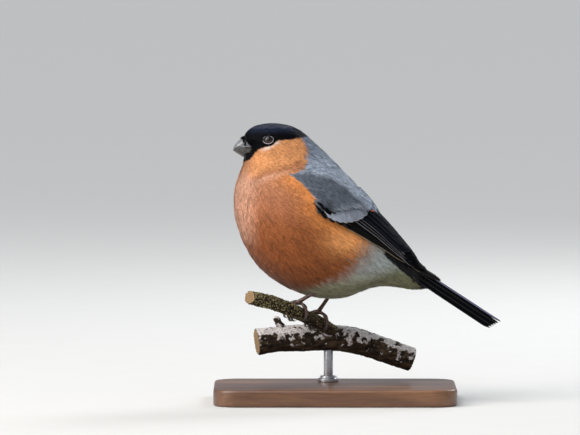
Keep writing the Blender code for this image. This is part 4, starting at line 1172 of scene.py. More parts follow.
def fans(name, piece_slot, finish, tree, roots, sizes, rule, seed, heading=lie, clumping=CLUMPING):
    """One joined mesh of feathers: sizes are their lengths, widths and lifts, and a rule by
    place gives their colour."""
    rng = np.random.default_rng(seed)
    count = len(roots)
    lengths, widths, lifts = (size * rng.uniform(*SIZE_SPREAD, count) for size in sizes)
    places, normals = nearest(tree, roots)
    line, out, side = [places], [normals], []
    for _ in range(WALK_STEPS):
        way = heading(line[-1], out[-1])
        side.append(np.cross(out[-1], way))
        places, normals = nearest(tree, line[-1] + way * (lengths / WALK_STEPS)[:, None])
        line.append(places)
        out.append(normals)
    side.append(side[-1])
    line, out, side = (np.stack(rows, axis=1) for rows in (line, out, side))

    barb = np.linspace(-1, 1, BARBS) + rng.uniform(-BARB_SHIFT, BARB_SHIFT, (count, BARBS))
    clump = np.clip(((barb + 1) / 2 * CLUMPS).astype(int), 0, CLUMPS - 1)
    who = np.arange(count)[:, None]
    middles = (np.arange(CLUMPS) + 0.5) / CLUMPS * 2 - 1
    drawn = (middles + rng.uniform(-CLUMP_SHIFT, CLUMP_SHIFT, (count, CLUMPS)))[who, clump]
    reach = (1 - ROUNDING * barb**2) * rng.uniform(*CLUMP_REACH, (count, CLUMPS))[who, clump]
    reach = np.clip(reach * rng.uniform(*BARB_REACH, (count, BARBS)), LEAST_REACH, 1.0)
    loose = rng.uniform(*CLUMP_LIFT, (count, CLUMPS))[who, clump] * rng.uniform(*BARB_LIFT, (count, BARBS))
    roll = rng.uniform(-BARB_ROLL, BARB_ROLL, (count, BARBS))
    vertices, shades, flats, ups = [], [], [], []
    for row, share in enumerate(ROWS):
        at = share * reach * WALK_STEPS
        low = np.minimum(at.astype(int), WALK_STEPS - 1)
        part = (at - low)[..., None]
        centre, up, across = (
            walk[who, low] * (1 - part) + walk[who, low + 1] * part for walk in (line, out, side)
        )
        offset = (barb + (drawn - barb) * clumping * share) * ROW_SPREADS[row] * widths[:, None] / 2
        height = ROOT_RISE + lifts[:, None] * (share**ROW_LIFT * loose - DROOP * barb**2 * share)
        half = widths[:, None] / BARBS * (ROW_WIDTHS[row] if row < len(ROW_WIDTHS) else 0)
        for edge in (-1, 1) if row < len(ROW_WIDTHS) else (0,):
            beside = across * (offset + edge * half)[..., None]
            vertices.append(centre + beside + up * (height + edge * half * roll)[..., None])
            # painted shade towards the barb's root
            shades.append(np.full((count, BARBS), ROW_PAINTED_SHADES[row]))
            flats.append(np.stack((barb * 0.5 + edge * 0.05, np.full_like(barb, share - 0.5)), axis=-1))
            ups.append(up + across * (edge * BARB_EDGE))
    per_barb = len(vertices)
    points = np.stack(vertices, axis=2).reshape(-1, 3)
    tips = points.reshape(-1, per_barb, 3)[:, -1]
    tones = (rule(tips) * streaks(tips)).reshape(count, BARBS, 1, 3)
    shade = np.stack(shades, axis=2)
    # On the crown the stronger barb tones are painted glints
    barb_shade = 1 + rng.normal(0, 1, (count, BARBS)) * np.where(flecked(places)[:, None], *BARB_SHADES)
    shade *= barb_shade[..., None] * rng.normal(1, FEATHER_SHADE, count)[:, None, None]
    colour = np.clip(tones * shade[..., None], 0, 1).reshape(-1, 3)
    flat = unwrapped(roots)[:, None, None, :] + np.stack(flats, axis=2) * PATCH
    flat = flat.reshape(-1, 2)

    start = np.arange(count * BARBS)[:, None] * per_barb
    quads = [start + np.array((2 * i, 2 * i + 2, 2 * i + 3, 2 * i + 1)) for i in range(len(ROWS) - 2)]
    last = 2 * (len(ROWS) - 2)
    ends = start + np.array((last, last + 2, last + 1))
    loops = np.concatenate([*quads, ends], axis=1).ravel()
    corners = np.tile([4] * len(quads) + [3], count * BARBS)
    mesh = bpy.data.meshes.new(name)
    mesh.vertices.add(len(points))
    mesh.vertices.foreach_set("co", (points * MM).astype(np.float32).ravel())
    mesh.loops.add(len(loops))
    mesh.loops.foreach_set("vertex_index", loops.astype(np.int32))
    mesh.polygons.add(len(corners))
    mesh.polygons.foreach_set("loop_start", (np.cumsum(corners) - corners).astype(np.int32))
    mesh.uv_layers.new(name="OFBake").data.foreach_set("uv", flat[loops].astype(np.float32).ravel())
    mesh.update(calc_edges=True)
    mesh.shade_smooth()
    soft = unit(np.stack(ups, axis=2).reshape(-1, 3))
    mesh.normals_split_custom_set_from_vertices(soft.tolist())
    made = bpy.data.objects.new(name, mesh)
    scene.collection.objects.link(made)
    coloured(made, colour)
    return settled(made, name, finish)


eye_centres = {}
for side_name in ("left", "right"):
    low_corner, high_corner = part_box(f"eye_{side_name}")
    eye_centres[side_name] = np.array((low_corner + high_corner) / 2) / MM


def by_distance(values):
    """A size by the distance from the bill's base, smaller round the eyes."""

    def at(points):
        size = np.interp(np.linalg.norm(points - BILL_BASE, axis=1), SIZE_FROM, values)
        for centre in eye_centres.values():
            size *= np.interp(np.linalg.norm(points - centre, axis=1), *EYE_SHRINK)
        return size

    return at


COVERT_SIZES = (0.72, 0.68, 0.75, 0.5)  # spacing, length, width and lift, as shares of the body's
COVERT_OVERLAP = 0.5  # by which they reach over the bar
COVERTS_SPAN = (-19.5, 22.5)
COVERTS_TOP = 109.5
SHOULDER_FROM = -24  # x
# The black of the wing before the bar, which no body feather hides: along x, up z, and from the side
BARE_SPAN = (-10, 2)
BARE_FROM = 87
BARE_SIDE = 8
# Breast feathers over the wing's edge: how near before it they are, and at which heights
RIM_AHEAD = (-0.9, 7.0)
RIM_HEIGHTS = (89, 107.6)
RIM_SIZES = (0.9, 0.6, 0.5)
RIM_CLUMPING = 0.85
RIM_MARGIN = 0.8  # their colour is read at least this far before the grey
CAP_DARKNESS = 0.09  # sum of a tone's parts, under which a feather belongs to the cap
REGION_BORDERS = (-30, -14, 70)  # x between throat, breast and the rest, and height over the belly

bill_tree = tree_of(joined([merged("bill_upper"), merged("bill_lower")], "bill_form"))
vane_trees = [tree_of(piece) for piece in vane_pieces]


def clear(roots, tree):
    """Roots away from the eyes and the bill, and not hidden under the wings' vanes."""
    places, normals = nearest(tree, roots)
    ways = lie(places, normals)
    kept = np.ones(len(roots), bool)
    for centre in eye_centres.values():
        kept &= np.linalg.norm(roots - centre, axis=1) > EYE_CLEARANCE
    for index in np.flatnonzero(kept):
        start = Vector(roots[index]) * MM
        away = Vector(normals[index])
        if bill_tree.find_nearest(start)[3] < BILL_CLEARANCE * MM:
            kept[index] = False
        elif roots[index][0] > WING_FROM:
            ahead = start + Vector(ways[index]) * FEATHER_AHEAD * MM
            rays = [(place + away * ROOT_DEPTH * MM, away, WING_COVER * MM) for place in (start, ahead)]
            kept[index] = not all(any(vanes.ray_cast(*ray)[0] for vanes in vane_trees) for ray in rays)
    return kept


def tip_places(roots, tree, share):
    places, normals = nearest(tree, roots)
    return places + lie(places, normals) * (by_distance(LENGTHS)(places) * share)[:, None]


def within(values, limits):
    return (values > limits[0]) & (values < limits[1])


def on_shoulder(tips):
    """Whether feathers with these tips are the small grey ones of back and shoulder."""
    x, z = tips[:, 0], tips[:, 2]
    above = z > read_off(COVERT_LINE, x) - COVERT_OVERLAP * (x > 0)
    return above & within(x, COVERTS_SPAN) & (ahead_of_grey(tips) < 0) & (z < COVERTS_TOP)


def on_vanes(tips):
    """Whether feathers with these tips would hide the black of the wing before the bar."""
    x, side, z = tips[:, 0], np.abs(tips[:, 1]), tips[:, 2]
    bare = within(x, BARE_SPAN) & (z > BARE_FROM) & (side > BARE_SIDE)
    return (z < read_off(COVERT_LINE, x)) & bare & (ahead_of_grey(tips) < 0)


roots = scattered(skin, by_distance(SPACINGS), 11)
roots = roots[clear(roots, skin_tree)]
tips = tip_places(roots, skin_tree, 0.85)
roots = roots[~on_shoulder(tips) & ~on_vanes(tips)]
black = markings(tip_places(roots, skin_tree, 0.6)).sum(axis=1) < CAP_DARKNESS
left = roots[:, 1] < 0
throat, breast = (roots[:, 0] < border for border in REGION_BORDERS[:2])
flank = roots[:, 2] > REGION_BORDERS[2]
regions = np.select(
    [black & (roots[:, 0] < 0), throat, left & breast, breast, left & flank, flank],
    ["cap", "throat", "breast_left", "breast_right", "flank_left", "flank_right"],
    "belly",
)
for number, region in enumerate(sorted(set(regions))):
    mine = roots[regions == region]
    finish = ("black_plumage", cap_finish) if region == "cap" else ("rosy_plumage", rosy_finish)
    sizes = [by_distance(values)(mine) for values in (LENGTHS, WIDTHS, LIFTS)]
    fans(f"plumage_{region}", *finish, skin_tree, mine, sizes, markings, 20 + number)

shoulder_roots = scattered(cover, lambda points: by_distance(SPACINGS)(points) * COVERT_SIZES[0], 12)
shoulder_roots = shoulder_roots[shoulder_roots[:, 0] > SHOULDER_FROM]
shoulder_tips = tip_places(shoulder_roots, cover_tree, COVERT_SIZES[1])
rim_tips = tip_places(shoulder_roots, cover_tree, RIM_SIZES[0])
on_rim = within(ahead_of_grey(rim_tips), RIM_AHEAD) & within(rim_tips[:, 2], RIM_HEIGHTS)


def rosy_only(points):
    """The markings, with the breast's own colour carried over the grey's edge."""
    moved = points.copy()
    moved[:, 0] = np.minimum(moved[:, 0], read_off(GREY_EDGE, moved[:, 2]) - RIM_MARGIN)
    return markings(moved)


for kind, chosen, shares, rule, clumping in (
    ("coverts", on_shoulder(shoulder_tips), COVERT_SIZES[1:], markings, CLUMPING),
    ("rim", on_rim, RIM_SIZES, rosy_only, RIM_CLUMPING),
):
    for number, side_name in enumerate(("left", "right")):
        mine = shoulder_roots[chosen & ((shoulder_roots[:, 1] < 0) == (side_name == "left"))]
        sizes = [by_distance(values)(mine) * share for values, share in zip((LENGTHS, WIDTHS, LIFTS), shares)]
        fans(
            f"{kind}_{side_name}", "rosy_plumage", rosy_finish, cover_tree, mine, sizes, rule, 30 + number,
            clumping=clumping,
        )

# Tail coverts
# Longer, softer feathers over the tail's root: black and glossy above, white and loose below,
# the white greyed and greened there by painted shade.
# For each kind: how far its roots lie over the line between the black and the white, their span
# along x, and a feather's length, width and lift
UPPER_COVERTS = ((1.4, math.inf), (-math.inf, 34), (10.0, 2.4, 0.4))
UNDER_COVERTS = ((-math.inf, -0.8), (32, 40), (8.5, 2.6, 0.7))
COVERT_SPACING = 1.5
TAIL_FORM_VOXEL = 0.8
TAIL_FORM_SMOOTHING = 5
UPPER_FACING = -0.3  # least share of the tail's up in the normal at an upper covert's root

tail_form = joined([merged("tail", growth=0)], "tail_form")
tail_block = remeshed(tail_form, TAIL_FORM_VOXEL, TAIL_FORM_SMOOTHING)
tail_tree = tree_of(tail_block)


def to_tail(points, normals):
    return over_surface(np.tile(tail_way, (len(points), 1)), normals)


def all_black(points):
    return np.tile(CAP, (len(points), 1))


covert_roots = scattered(tail_block, lambda points: np.full(len(points), COVERT_SPACING), 31)
covert_normals = nearest(tail_tree, covert_roots)[1]
side_gap = covert_roots[:, 2] - read_off(TAIL_SIDE, covert_roots[:, 0])
for covert_name, (gaps, span, size), facing, rule, finish, slot_name in (
    ("upper", UPPER_COVERTS, covert_normals @ tail_up > UPPER_FACING, all_black, cap_finish, "black_plumage"),
    ("under", UNDER_COVERTS, True, markings, rosy_finish, "rosy_plumage"),
):
    mine = covert_roots[within(side_gap, gaps) & within(covert_roots[:, 0], span) & facing]
    sizes = [np.full(len(mine), value) for value in size]
    fans(f"coverts_{covert_name}_tail", slot_name, finish, tail_tree, mine, sizes, rule, 41, heading=to_tail)

# Eyes
# Dark brown, wet glass-clear eyes set deep in the head, each in a thin ring of bare grey lid.
EYE_RADIUS = 2.6
CORNEA_RISE = 0.12
LID_RING = 2.3
LID_THICKNESS = 0.19
LID_HEIGHT = 1.5
LID_DROP = 0.22
LID_SHAPE = (1.09, 0.88, 0.8)
LID_TONES = [(0.0, paint(176, 160, 168)), (0.45, paint(120, 114, 120)), (1.0, paint(92, 90, 98))]
LID_ROUGHNESS = 0.06
# Tones from the eye's rim to its pupil, by the share of the way from its back to its front
EYE_TONES = [
    (0.62, paint(3, 3, 3)), (0.68, paint(12, 8, 7)), (0.73, paint(40, 24, 15)),
    (0.80, paint(30, 18, 12)), (0.84, paint(2, 2, 2)),
]
CORNEA_FROM = 0.55  # share of the radius
FACE_REACH = 7.0  # of the skin round an eye that gives the way it looks

eye_finish, eye_tree, eye_shader = material(
    "eye_glass", 0.05, Specular_IOR_Level=0.3, Coat_Weight=0.3, Coat_Roughness=0.03
)
eye_flat = node(eye_tree, "ShaderNodeUVMap", uv_map="UVMap").outputs["UV"]
eye_height = node(eye_tree, "ShaderNodeSeparateXYZ", {"Vector": eye_flat}).outputs["Y"]
dressed(eye_tree, eye_shader, ramp(eye_tree, eye_height, EYE_TONES))
lid_finish, lid_tree, lid_shader = material("bare_lid", 0.55)
lid_place = object_place(lid_tree)
lid_level = node(lid_tree, "ShaderNodeSeparateXYZ", {"Vector": lid_place}).outputs["Z"]
lid_middle = eye_centres["left"][2] * MM
lid_share = node(
    lid_tree, "ShaderNodeMapRange", {"Value": lid_level},
    From_Min=lid_middle - LID_RING * MM, From_Max=lid_middle + LID_RING * MM,
)
lid_tone = mottled(lid_tree, ramp(lid_tree, lid_share.outputs["Result"], LID_TONES), 3000.0, 0.75, 1.15)
lid_grain = node(lid_tree, "ShaderNodeTexVoronoi", {"Vector": lid_place}, Scale=3500.0).outputs["Distance"]
dressed(lid_tree, lid_shader, lid_tone, lid_grain, Strength=0.4, Distance=0.0001)
for side_name, centre in eye_centres.items():
    centre_point = Vector(centre) * MM
    round_eye = np.linalg.norm(skin_points - centre, axis=1) < FACE_REACH
    gaze = Vector(unit(vertex_normals(skin)[round_eye].mean(axis=0)))
    turn = gaze.to_track_quat("Z", "Y")
    deselect()
    bpy.ops.mesh.primitive_uv_sphere_add(segments=48, ring_count=32, radius=EYE_RADIUS * MM)
    eye = bpy.context.object
    for vert in eye.data.vertices:
        front = max(0.0, vert.co.z / (EYE_RADIUS * MM) - CORNEA_FROM) / (1 - CORNEA_FROM)
        vert.co.z += CORNEA_RISE * MM * front
    eye.matrix_world = Matrix.LocRotScale(centre_point, turn, (1, 1, 1))
    eye.data.shade_smooth()
    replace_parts(settled(eye, f"eyeball_{side_name}", eye_finish), f"eye_{side_name}")
    bpy.ops.mesh.primitive_torus_add(
        major_radius=LID_RING * MM, minor_radius=LID_THICKNESS * MM, major_segments=64, minor_segments=12
    )
    lid = bpy.context.object
    for vert in lid.data.vertices:
        vert.co += vert.normal * noise.noise(vert.co * 4000) * LID_ROUGHNESS * MM
    seat = centre_point + (gaze * LID_HEIGHT - UP * LID_DROP) * MM
    lid.matrix_world = Matrix.LocRotScale(seat, turn, LID_SHAPE)
    lid.data.shade_smooth()
    settled(lid, f"lid_{side_name}", lid_finish)

# Bill
# A short, deep bill of dark horn in two halves, smooth and a little glossy. Black bristles lean
# forward over its base.
BILL_VOXEL = 0.2
# The bill's base runs back under the face's feathers, furthest at the gape (height, how far)
BILL_START = -42.5
GAPE_BACK = [(114.6, 1.2), (117, 2.8), (119.6, 3.6), (121.5, 3.0), (124.9, 1.0)]
GAPE_FLARE = 1.1
BRISTLE_SPACING = 0.32
BRISTLE_REACH = 0.9  # from the skin, within which the bristles are rooted on the horn
BRISTLES_FROM = 120.4  # height
BRISTLE_SIZE = (1.3, 0.36, 0.3)
BILL_TIP = np.array((-51.5, -1.5, 115.5))
# Dark and light horn of each half; the upper half is lighter, partly as a painted highlight on the bill's top
HORN_TONES = {
    "upper": (paint(72, 72, 77), paint(132, 132, 138)),
    "lower": (paint(28, 27, 26), paint(70, 66, 62)),
}


def grain(tree, stretch, detail, **values):
    """Noise drawn out along the ways in which its scale is low."""
    stretched = node(tree, "ShaderNodeMapping", {"Vector": object_place(tree)}, Scale=stretch)
    links = {"Vector": stretched.outputs["Vector"]}
    return node(tree, "ShaderNodeTexNoise", links, Scale=1.0, Detail=detail, **values).outputs["Fac"]


def horn_finish(name, dark, light):
    """Polished horn, streaked along its growth."""
    made, tree, shader = material(name, 0.3, Coat_Weight=0.35, Coat_Roughness=0.25)
    growth = grain(tree, (500, 500, 1500), 4.0)
    tone = mottled(tree, ramp(tree, growth, [(0.3, dark), (0.72, light)]), 900.0, 0.7, 1.2)
    dressed(tree, shader, tone, growth, Strength=0.25, Distance=0.0001)
    return made


for half in ("upper", "lower"):
    shell = merged(f"bill_{half}", growth=0)
    for vert in shell.verts:
        place = turned(np.array([vert.co]) / MM, -HEAD_TURN)[0]
        if place[0] > BILL_START:
            place[0] += read_off(GAPE_BACK, place[2])
            place[1] *= GAPE_FLARE
        vert.co = Vector(turned(place[None], HEAD_TURN)[0]) * MM
    bill = remeshed(joined([shell], f"bill_{half}_horn"), BILL_VOXEL, 2)
    # The upper half's lighter horn is partly a painted highlight
    half_finish = horn_finish(f"horn_{half}", *HORN_TONES[half])
    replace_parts(settled(bill, f"bill_{half}_horn", half_finish), f"bill_{half}")


def to_tip(points, normals):
    return over_surface(unit(BILL_TIP - points), normals)


bristle_roots = scattered(
    bpy.data.objects["bill_form"], lambda points: np.full(len(points), BRISTLE_SPACING), 51
)
from_skin = np.array([skin_tree.find_nearest(Vector(place) * MM)[3] for place in bristle_roots]) / MM
bristle_roots = bristle_roots[(from_skin < BRISTLE_REACH) & (bristle_roots[:, 2] > BRISTLES_FROM)]
sizes = [np.full(len(bristle_roots), value) for value in BRISTLE_SIZE]
fans("bristles", "black_plumage", cap_finish, bill_tree, bristle_roots, sizes, all_black, 52, heading=to_tip)

# Legs and feet
# Thin brown legs in scales, and four toes round the twig: three over its far side and the hind
# toe under it. Each toe ends in a curved claw of dark horn.
FOOT_VOXEL = 0.2
TWIG_RADIUS = 3.2
GRIPS = {"left": np.array((-18.6, -8.6, 42.8)), "right": np.array((-8.8, 4.6, 37.4))}
ANKLES = {"left": np.array((-3.6, -13.4, 55.8)), "right": np.array((1.4, 12.4, 54.6))}
# Each toe: degrees that it wraps round the twig, and how far along the twig it spreads
TOES = [(-170, 0.7), (-150, 4.2), (-152, -3.0), (146, 3.4)]
TOE_RADIUS = 0.86
TOE_CLEARANCE = 0.4
TOE_START = 0.03
CLAW_START = 0.74
CLAW_ARCH = 0.7
CLAW_TAPER = 0.85
KNUCKLES = (0.13, 3.3)  # by how much they are thicker, and how many there are
SOLE_HEIGHT = 0.9
# Shares of the way from sole to ankle, and the shin's radius there
SHIN = [(-0.02, 1.25), (0.06, 1.1), (0.2, 0.95), (0.5, 0.88), (0.8, 0.95), (1.0, 1.2), (1.25, 1.5)]
LEG_TONES = [(0.2, paint(106, 76, 66)), (0.75, paint(44, 28, 24))]
CLAW_TONE = paint(50, 42, 38)

twig_way = unit(GRIPS["right"] - GRIPS["left"])
twig_over = unit(np.array((0, 0, 1.0)) - twig_way * twig_way[2])
twig_beside = np.cross(twig_way, twig_over)


def round_tube(points, radii, sides):
    """A closed round tube through points in millimetres, as a bmesh."""
    points = np.array(points, float)
    ways = unit(np.gradient(points, axis=0))
    across = unit(np.cross(ways[0], (0.3, 0.2, 1.0)))
    bm = bmesh.new()
    rings = []
    for point, way, radius in zip(points, ways, radii):
        across = unit(across - way * (across @ way))
        beside = np.cross(way, across)
        ring = []
        for side in range(sides):
            turn = 2 * math.pi * side / sides
            way_out = across * math.cos(turn) + beside * math.sin(turn)
            ring.append(bm.verts.new((point + way_out * radius) * MM))
        rings.append(ring)
    for near, far in zip(rings, rings[1:]):
        for i in range(sides):
            bm.faces.new((near[i], near[i - 1], far[i - 1], far[i]))
    bm.faces.new(rings[0])
    bm.faces.new(rings[-1][::-1])
    bmesh.ops.recalc_face_normals(bm, faces=bm.faces)
    return bm


def toe_line(grip, wrap, spread, shares):
    """Points and radii of a toe laid round the twig from its top."""
    points, radii = [], []
    for share in shares:
        angle = math.radians(wrap * (TOE_START + (1 - TOE_START) * share))
        claw = max(0.0, (share - CLAW_START) / (1 - CLAW_START))
        radius = TOE_RADIUS * (1.1 - 0.2 * share) * (1 - CLAW_TAPER * claw)
        knuckle = 1 + KNUCKLES[0] * math.cos(2 * math.pi * share * KNUCKLES[1]) * (claw == 0)
        arch = CLAW_ARCH * math.sin(math.pi * claw)
        reach = TWIG_RADIUS + TOE_CLEARANCE + radius * (1 + KNUCKLES[0]) + arch
        radial = twig_over * math.cos(angle) + twig_beside * math.sin(angle)
        points.append(grip + twig_way * spread * math.sqrt(share) + radial * reach)
        radii.append(radius * knuckle)
    return points, radii


leg_finish, leg_tree, leg_shader = material("leg_scales", 0.42, Specular_IOR_Level=0.5)
leg_links = {"Vector": object_place(leg_tree)}
leg_scales = node(leg_tree, "ShaderNodeTexVoronoi", leg_links, Scale=1300.0).outputs["Distance"]
leg_tone = mottled(leg_tree, ramp(leg_tree, leg_scales, LEG_TONES), 300.0, 0.6, 1.25)
dressed(leg_tree, leg_shader, leg_tone, leg_scales, Strength=0.6, Distance=0.0002, invert=True)
claw_finish, claw_tree, claw_shader = material("horn_claw", 0.3)
dressed(claw_tree, claw_shader, mottled(claw_tree, CLAW_TONE, 900.0, 0.4, 1.6))
shares, radii = zip(*SHIN)
for side_name, grip in GRIPS.items():
    sole = grip + twig_over * (TWIG_RADIUS + TOE_CLEARANCE + SOLE_HEIGHT)
    ankle = ANKLES[side_name]
    pieces = [round_tube([sole + (ankle - sole) * share for share in shares], radii, 16)]
    claws = []
    for wrap, spread in TOES:
        pieces.append(round_tube(*toe_line(grip, wrap, spread, np.linspace(0, CLAW_START + 0.03, 26)), 12))
        claws.append(round_tube(*toe_line(grip, wrap, spread, np.linspace(CLAW_START, 1, 12)), 8))
    foot = remeshed(joined(pieces, f"foot_skin_{side_name}"), FOOT_VOXEL, 2)
    foot = settled(foot, f"foot_skin_{side_name}", leg_finish)
    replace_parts(foot, f"foot_{side_name}", f"leg_{side_name}")
    claw_set = joined(claws, f"claws_{side_name}")
    claw_set.data.shade_smooth()
    settled(claw_set, f"claws_{side_name}", claw_finish)

# Mossy twig
# The twig in the bird's feet: thin dark bark under crumbs of moss and yellow-green lichen, which
# are thickest before the feet.
TWIG_VOXEL = 0.3
TWIG_ENDS = ((-40, -34, 51.2), (3.4, 18.4, 28.4))
TWIG_BARK = [(0.3, paint(18, 14, 11)), (0.52, paint(46, 35, 27)), (0.75, paint(92, 74, 56))]
CRUMB_TONES = (paint(66, 56, 32), paint(184, 172, 122))
WOOD_TONES = (paint(104, 80, 56), paint(158, 130, 98))
SAWN_FROM = 0.75  # share of the wood's own way in a face's normal, past which the face is sawn
SAWN_REACH = 9  # from the heart of a sawn end
RING_WIDTH = 0.9


def weathered(item, rule, ends):
    """Moves a mesh's vertices along their normals by a rule on their places, which also says how
    far moss or lichen covers them. Sawn ends stay flat and bare, with rings round the heart."""
    points, normals = coordinates(item), vertex_normals(item)
    found = np.array([rule(Vector(point), Vector(normal)) for point, normal in zip(points, normals)])
    sawn, ring = np.zeros(len(points)), np.zeros(len(points))
    for heart, inward in ends:
        way = unit(np.array(inward, float) - np.array(heart))
        close = (np.linalg.norm(points - heart, axis=1) < SAWN_REACH) & (normals @ -way > SAWN_FROM)
        sawn[close] = 1
        ring[close] = np.linalg.norm(points[close] - heart, axis=1) / RING_WIDTH
    found[sawn > 0] *= 0
    place_vertices(item, points + normals * found[:, :1])
    ring = 0.5 + 0.5 * np.sin(2 * math.pi * ring)
    coloured(item, np.stack((np.clip(found[:, 1], 0, 1), sawn, ring), axis=1), "Cover")


def mix(tree, share, first, second):
    """One colour over another by a share."""
    return node(tree, "ShaderNodeMix", {0: share, 6: first, 7: second}, data_type="RGBA").outputs[2]


# Bark and what grows on it: the cover spreads over the bark in flakes with broken edges
crusted, crusted_in, crusted_out = shader_group(
    "crusted_bark",
    {"Bark": "Color", "Dark": "Color", "Light": "Color", "Grain": "Float"},
    {"Color": "Color", "Height": "Float"},
)
crusted_place = object_place(crusted)
crusted_parts = node(crusted, "ShaderNodeSeparateColor", {"Color": vertex_colour(crusted, "Cover")}).outputs
crusted_links = {"Vector": crusted_place, "Scale": crusted_in["Grain"]}
crusted_noise = node(crusted, "ShaderNodeTexNoise", crusted_links, Detail=5.0).outputs["Fac"]
crusted_links = {"Vector": crusted_place}
crusted_fine = node(crusted, "ShaderNodeTexNoise", crusted_links, Scale=1700.0, Detail=3.0).outputs["Fac"]
crusted_links = {0: crusted_parts["Red"], 1: crusted_noise}
crusted_sum = node(crusted, "ShaderNodeMath", crusted_links, operation="ADD").outputs[0]
crusted_mask = ramp(crusted, crusted_sum, [(0.92, (0, 0, 0)), (1.03, (1, 1, 1))])
crusted_share = ramp(crusted, crusted_fine, [(0.36, (0, 0, 0)), (0.64, (1, 1, 1))])
crusted_tone = mix(crusted, crusted_share, crusted_in["Dark"], crusted_in["Light"])
crusted_tone = mix(crusted, crusted_mask, crusted_in["Bark"], crusted_tone)
crusted_rings = ramp(crusted, crusted_parts["Blue"], [(0.2, WOOD_TONES[1]), (0.9, WOOD_TONES[0])])
crusted_tone = mix(crusted, crusted_parts["Green"], crusted_tone, crusted_rings)
crusted_links = {0: crusted_mask, 2: crusted_fine}
crusted_height = node(crusted, "ShaderNodeMath", crusted_links, operation="MULTIPLY_ADD")
crusted_height.inputs[1].default_value = 0.5
crusted.links.new(crusted_tone, crusted_out["Color"])
crusted.links.new(crusted_height.outputs[0], crusted_out["Height"])


def bark_finish(name, stretch, stops, tones, flake_scale, depth):
    """Rough bark, ridged along the wood, under what grows on it."""
    made, tree, shader = material(name, 0.95, Specular_IOR_Level=0.2)
    ridges = grain(tree, stretch, 6.0)
    bark = ramp(tree, ridges, stops)
    crust = node(tree, "ShaderNodeGroup", {"Bark": bark}, node_tree=crusted, Grain=flake_scale)
    for socket, tone in zip(("Dark", "Light"), tones):
        crust.inputs[socket].default_value = (*tone, 1)
    height = node(tree, "ShaderNodeMath", {0: ridges, 1: crust.outputs["Height"]}, operation="ADD")
    dressed(tree, shader, crust.outputs["Color"], height.outputs[0], Strength=0.9, Distance=depth)
    return made


def crumbs(p, n):
    """Height and cover of the moss at a place."""
    mossy = 0.06 + 0.35 * noise.noise(p * 0.13) - 0.009 * (p.x + 14)
    crumb = max(0.0, noise.noise(p * 1.7) + mossy - 0.1)
    height = 0.25 * noise.turbulence(p * 0.9, 4, False) + 0.6 * crumb
    # The cover grows a little on the twig's top, partly as a painted highlight there
    return height, 0.33 + 0.55 * crumb + 0.09 * n.z


twig = remeshed(joined([merged("perch_twig", growth=-0.15)], "twig_bark"), TWIG_VOXEL, 2)
weathered(twig, crumbs, [(TWIG_ENDS[0], TWIG_ENDS[1])])
twig_finish = bark_finish("bark_mossy", (500, 500, 500), TWIG_BARK, CRUMB_TONES, 1300.0, 0.0006)
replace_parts(settled(twig, "twig_bark", twig_finish), "perch_twig")

# Branch
# The thicker branch behind: dark, ridged bark, whitened on top by a thin crust of lichen that
# curls off in flakes, with a broken stub and a knot. Both ends are sawn.
BRANCH_VOXEL = 0.45
BRANCH_ENDS = ((-37, 10, 27.2), (37, 24, 17.8))
BRANCH_BARK = [(0.3, paint(20, 15, 11)), (0.5, paint(48, 37, 27)), (0.75, paint(98, 80, 60))]
CRUST_TONES = (paint(146, 138, 134), paint(232, 226, 225))


def bark_and_crust(p, n):
    """Height of bark and lichen, and cover of the lichen, at a place."""
    ridges = 0.35 * noise.turbulence(Vector((p.x * 0.22, p.y * 0.7, p.z * 0.7)), 4, True)
    cover = noise.noise(p * 0.28 + Vector((7, 3, 1))) * 0.7 + n.z * 0.55
    edge = math.exp(-(((cover - 0.2) / 0.1) ** 2))
    crust = 0.2 * min(1, max(0, (cover - 0.1) / 0.1)) + 0.12 * edge
    height = ridges + crust + 0.15 * noise.noise(p * 1.4)
    return height, 0.42 + 0.45 * (cover - 0.12) + 0.12 * noise.noise(p * 1.1)


branch = remeshed(joined([merged("perch_branch", growth=-0.2)], "branch_bark"), BRANCH_VOXEL, 1)
weathered(branch, bark_and_crust, [BRANCH_ENDS, BRANCH_ENDS[::-1]])
branch_finish = bark_finish("bark_branch", (220, 650, 650), BRANCH_BARK, CRUST_TONES, 420.0, 0.0008)
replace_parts(settled(branch, "branch_bark", branch_finish), "perch_branch")

# Display stand
# A plain plate of dark wood with round corners and softened edges, and a steel rod that carries
# the branch, set in a small collar.
BASE_CORNER = 12.0
BASE_EDGE = 1.2
ROD_EDGE = 0.3
COLLAR_RADIUS = 5.0
COLLAR_HEIGHT = 1.8
COLLAR_STEP = 1.1
COLLAR_EDGE = 0.35
ROD_SEAT = 0.6  # by which the rod reaches into base and branch together
WALNUT = [(0.3, paint(66, 42, 27)), (0.72, paint(128, 88, 58)), (0.5, paint(96, 63, 41))]
WOOD_PORES = [(0.3, (0.72, 0.7, 0.68)), (0.55, (1.05, 1.05, 1.05))]
STEEL = [(0.3, paint(150, 150, 154)), (0.7, paint(190, 190, 194))]


def softened(item, width, segments, angle=30):
    """Rounds the edges that are sharper than an angle."""
    bevel = item.modifiers.new("edge", "BEVEL")
    bevel.width = width * MM
    bevel.segments = segments
    bevel.limit_method = "ANGLE"
    bevel.angle_limit = math.radians(angle)
    item.data.shade_smooth()


def picked(item, kind, chosen):
    """Selects the edges or faces that pass a test, and goes on in edit mode."""
    bpy.ops.object.mode_set(mode="EDIT")
    bpy.ops.mesh.select_mode(type=kind)
    bpy.ops.mesh.select_all(action="DESELECT")
    bpy.ops.object.mode_set(mode="OBJECT")
    for part in item.data.edges if kind == "EDGE" else item.data.polygons:
        part.select = chosen(part)
    bpy.ops.object.mode_set(mode="EDIT")


def cylinder(sides, radius, height, middle):
    bpy.ops.mesh.primitive_cylinder_add(vertices=sides, radius=radius, depth=height, location=middle)
    return bpy.context.object


base_low, base_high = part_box("stand_base")
rod_low, rod_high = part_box("stand_rod")
rod_middle = (rod_low + rod_high) / 2

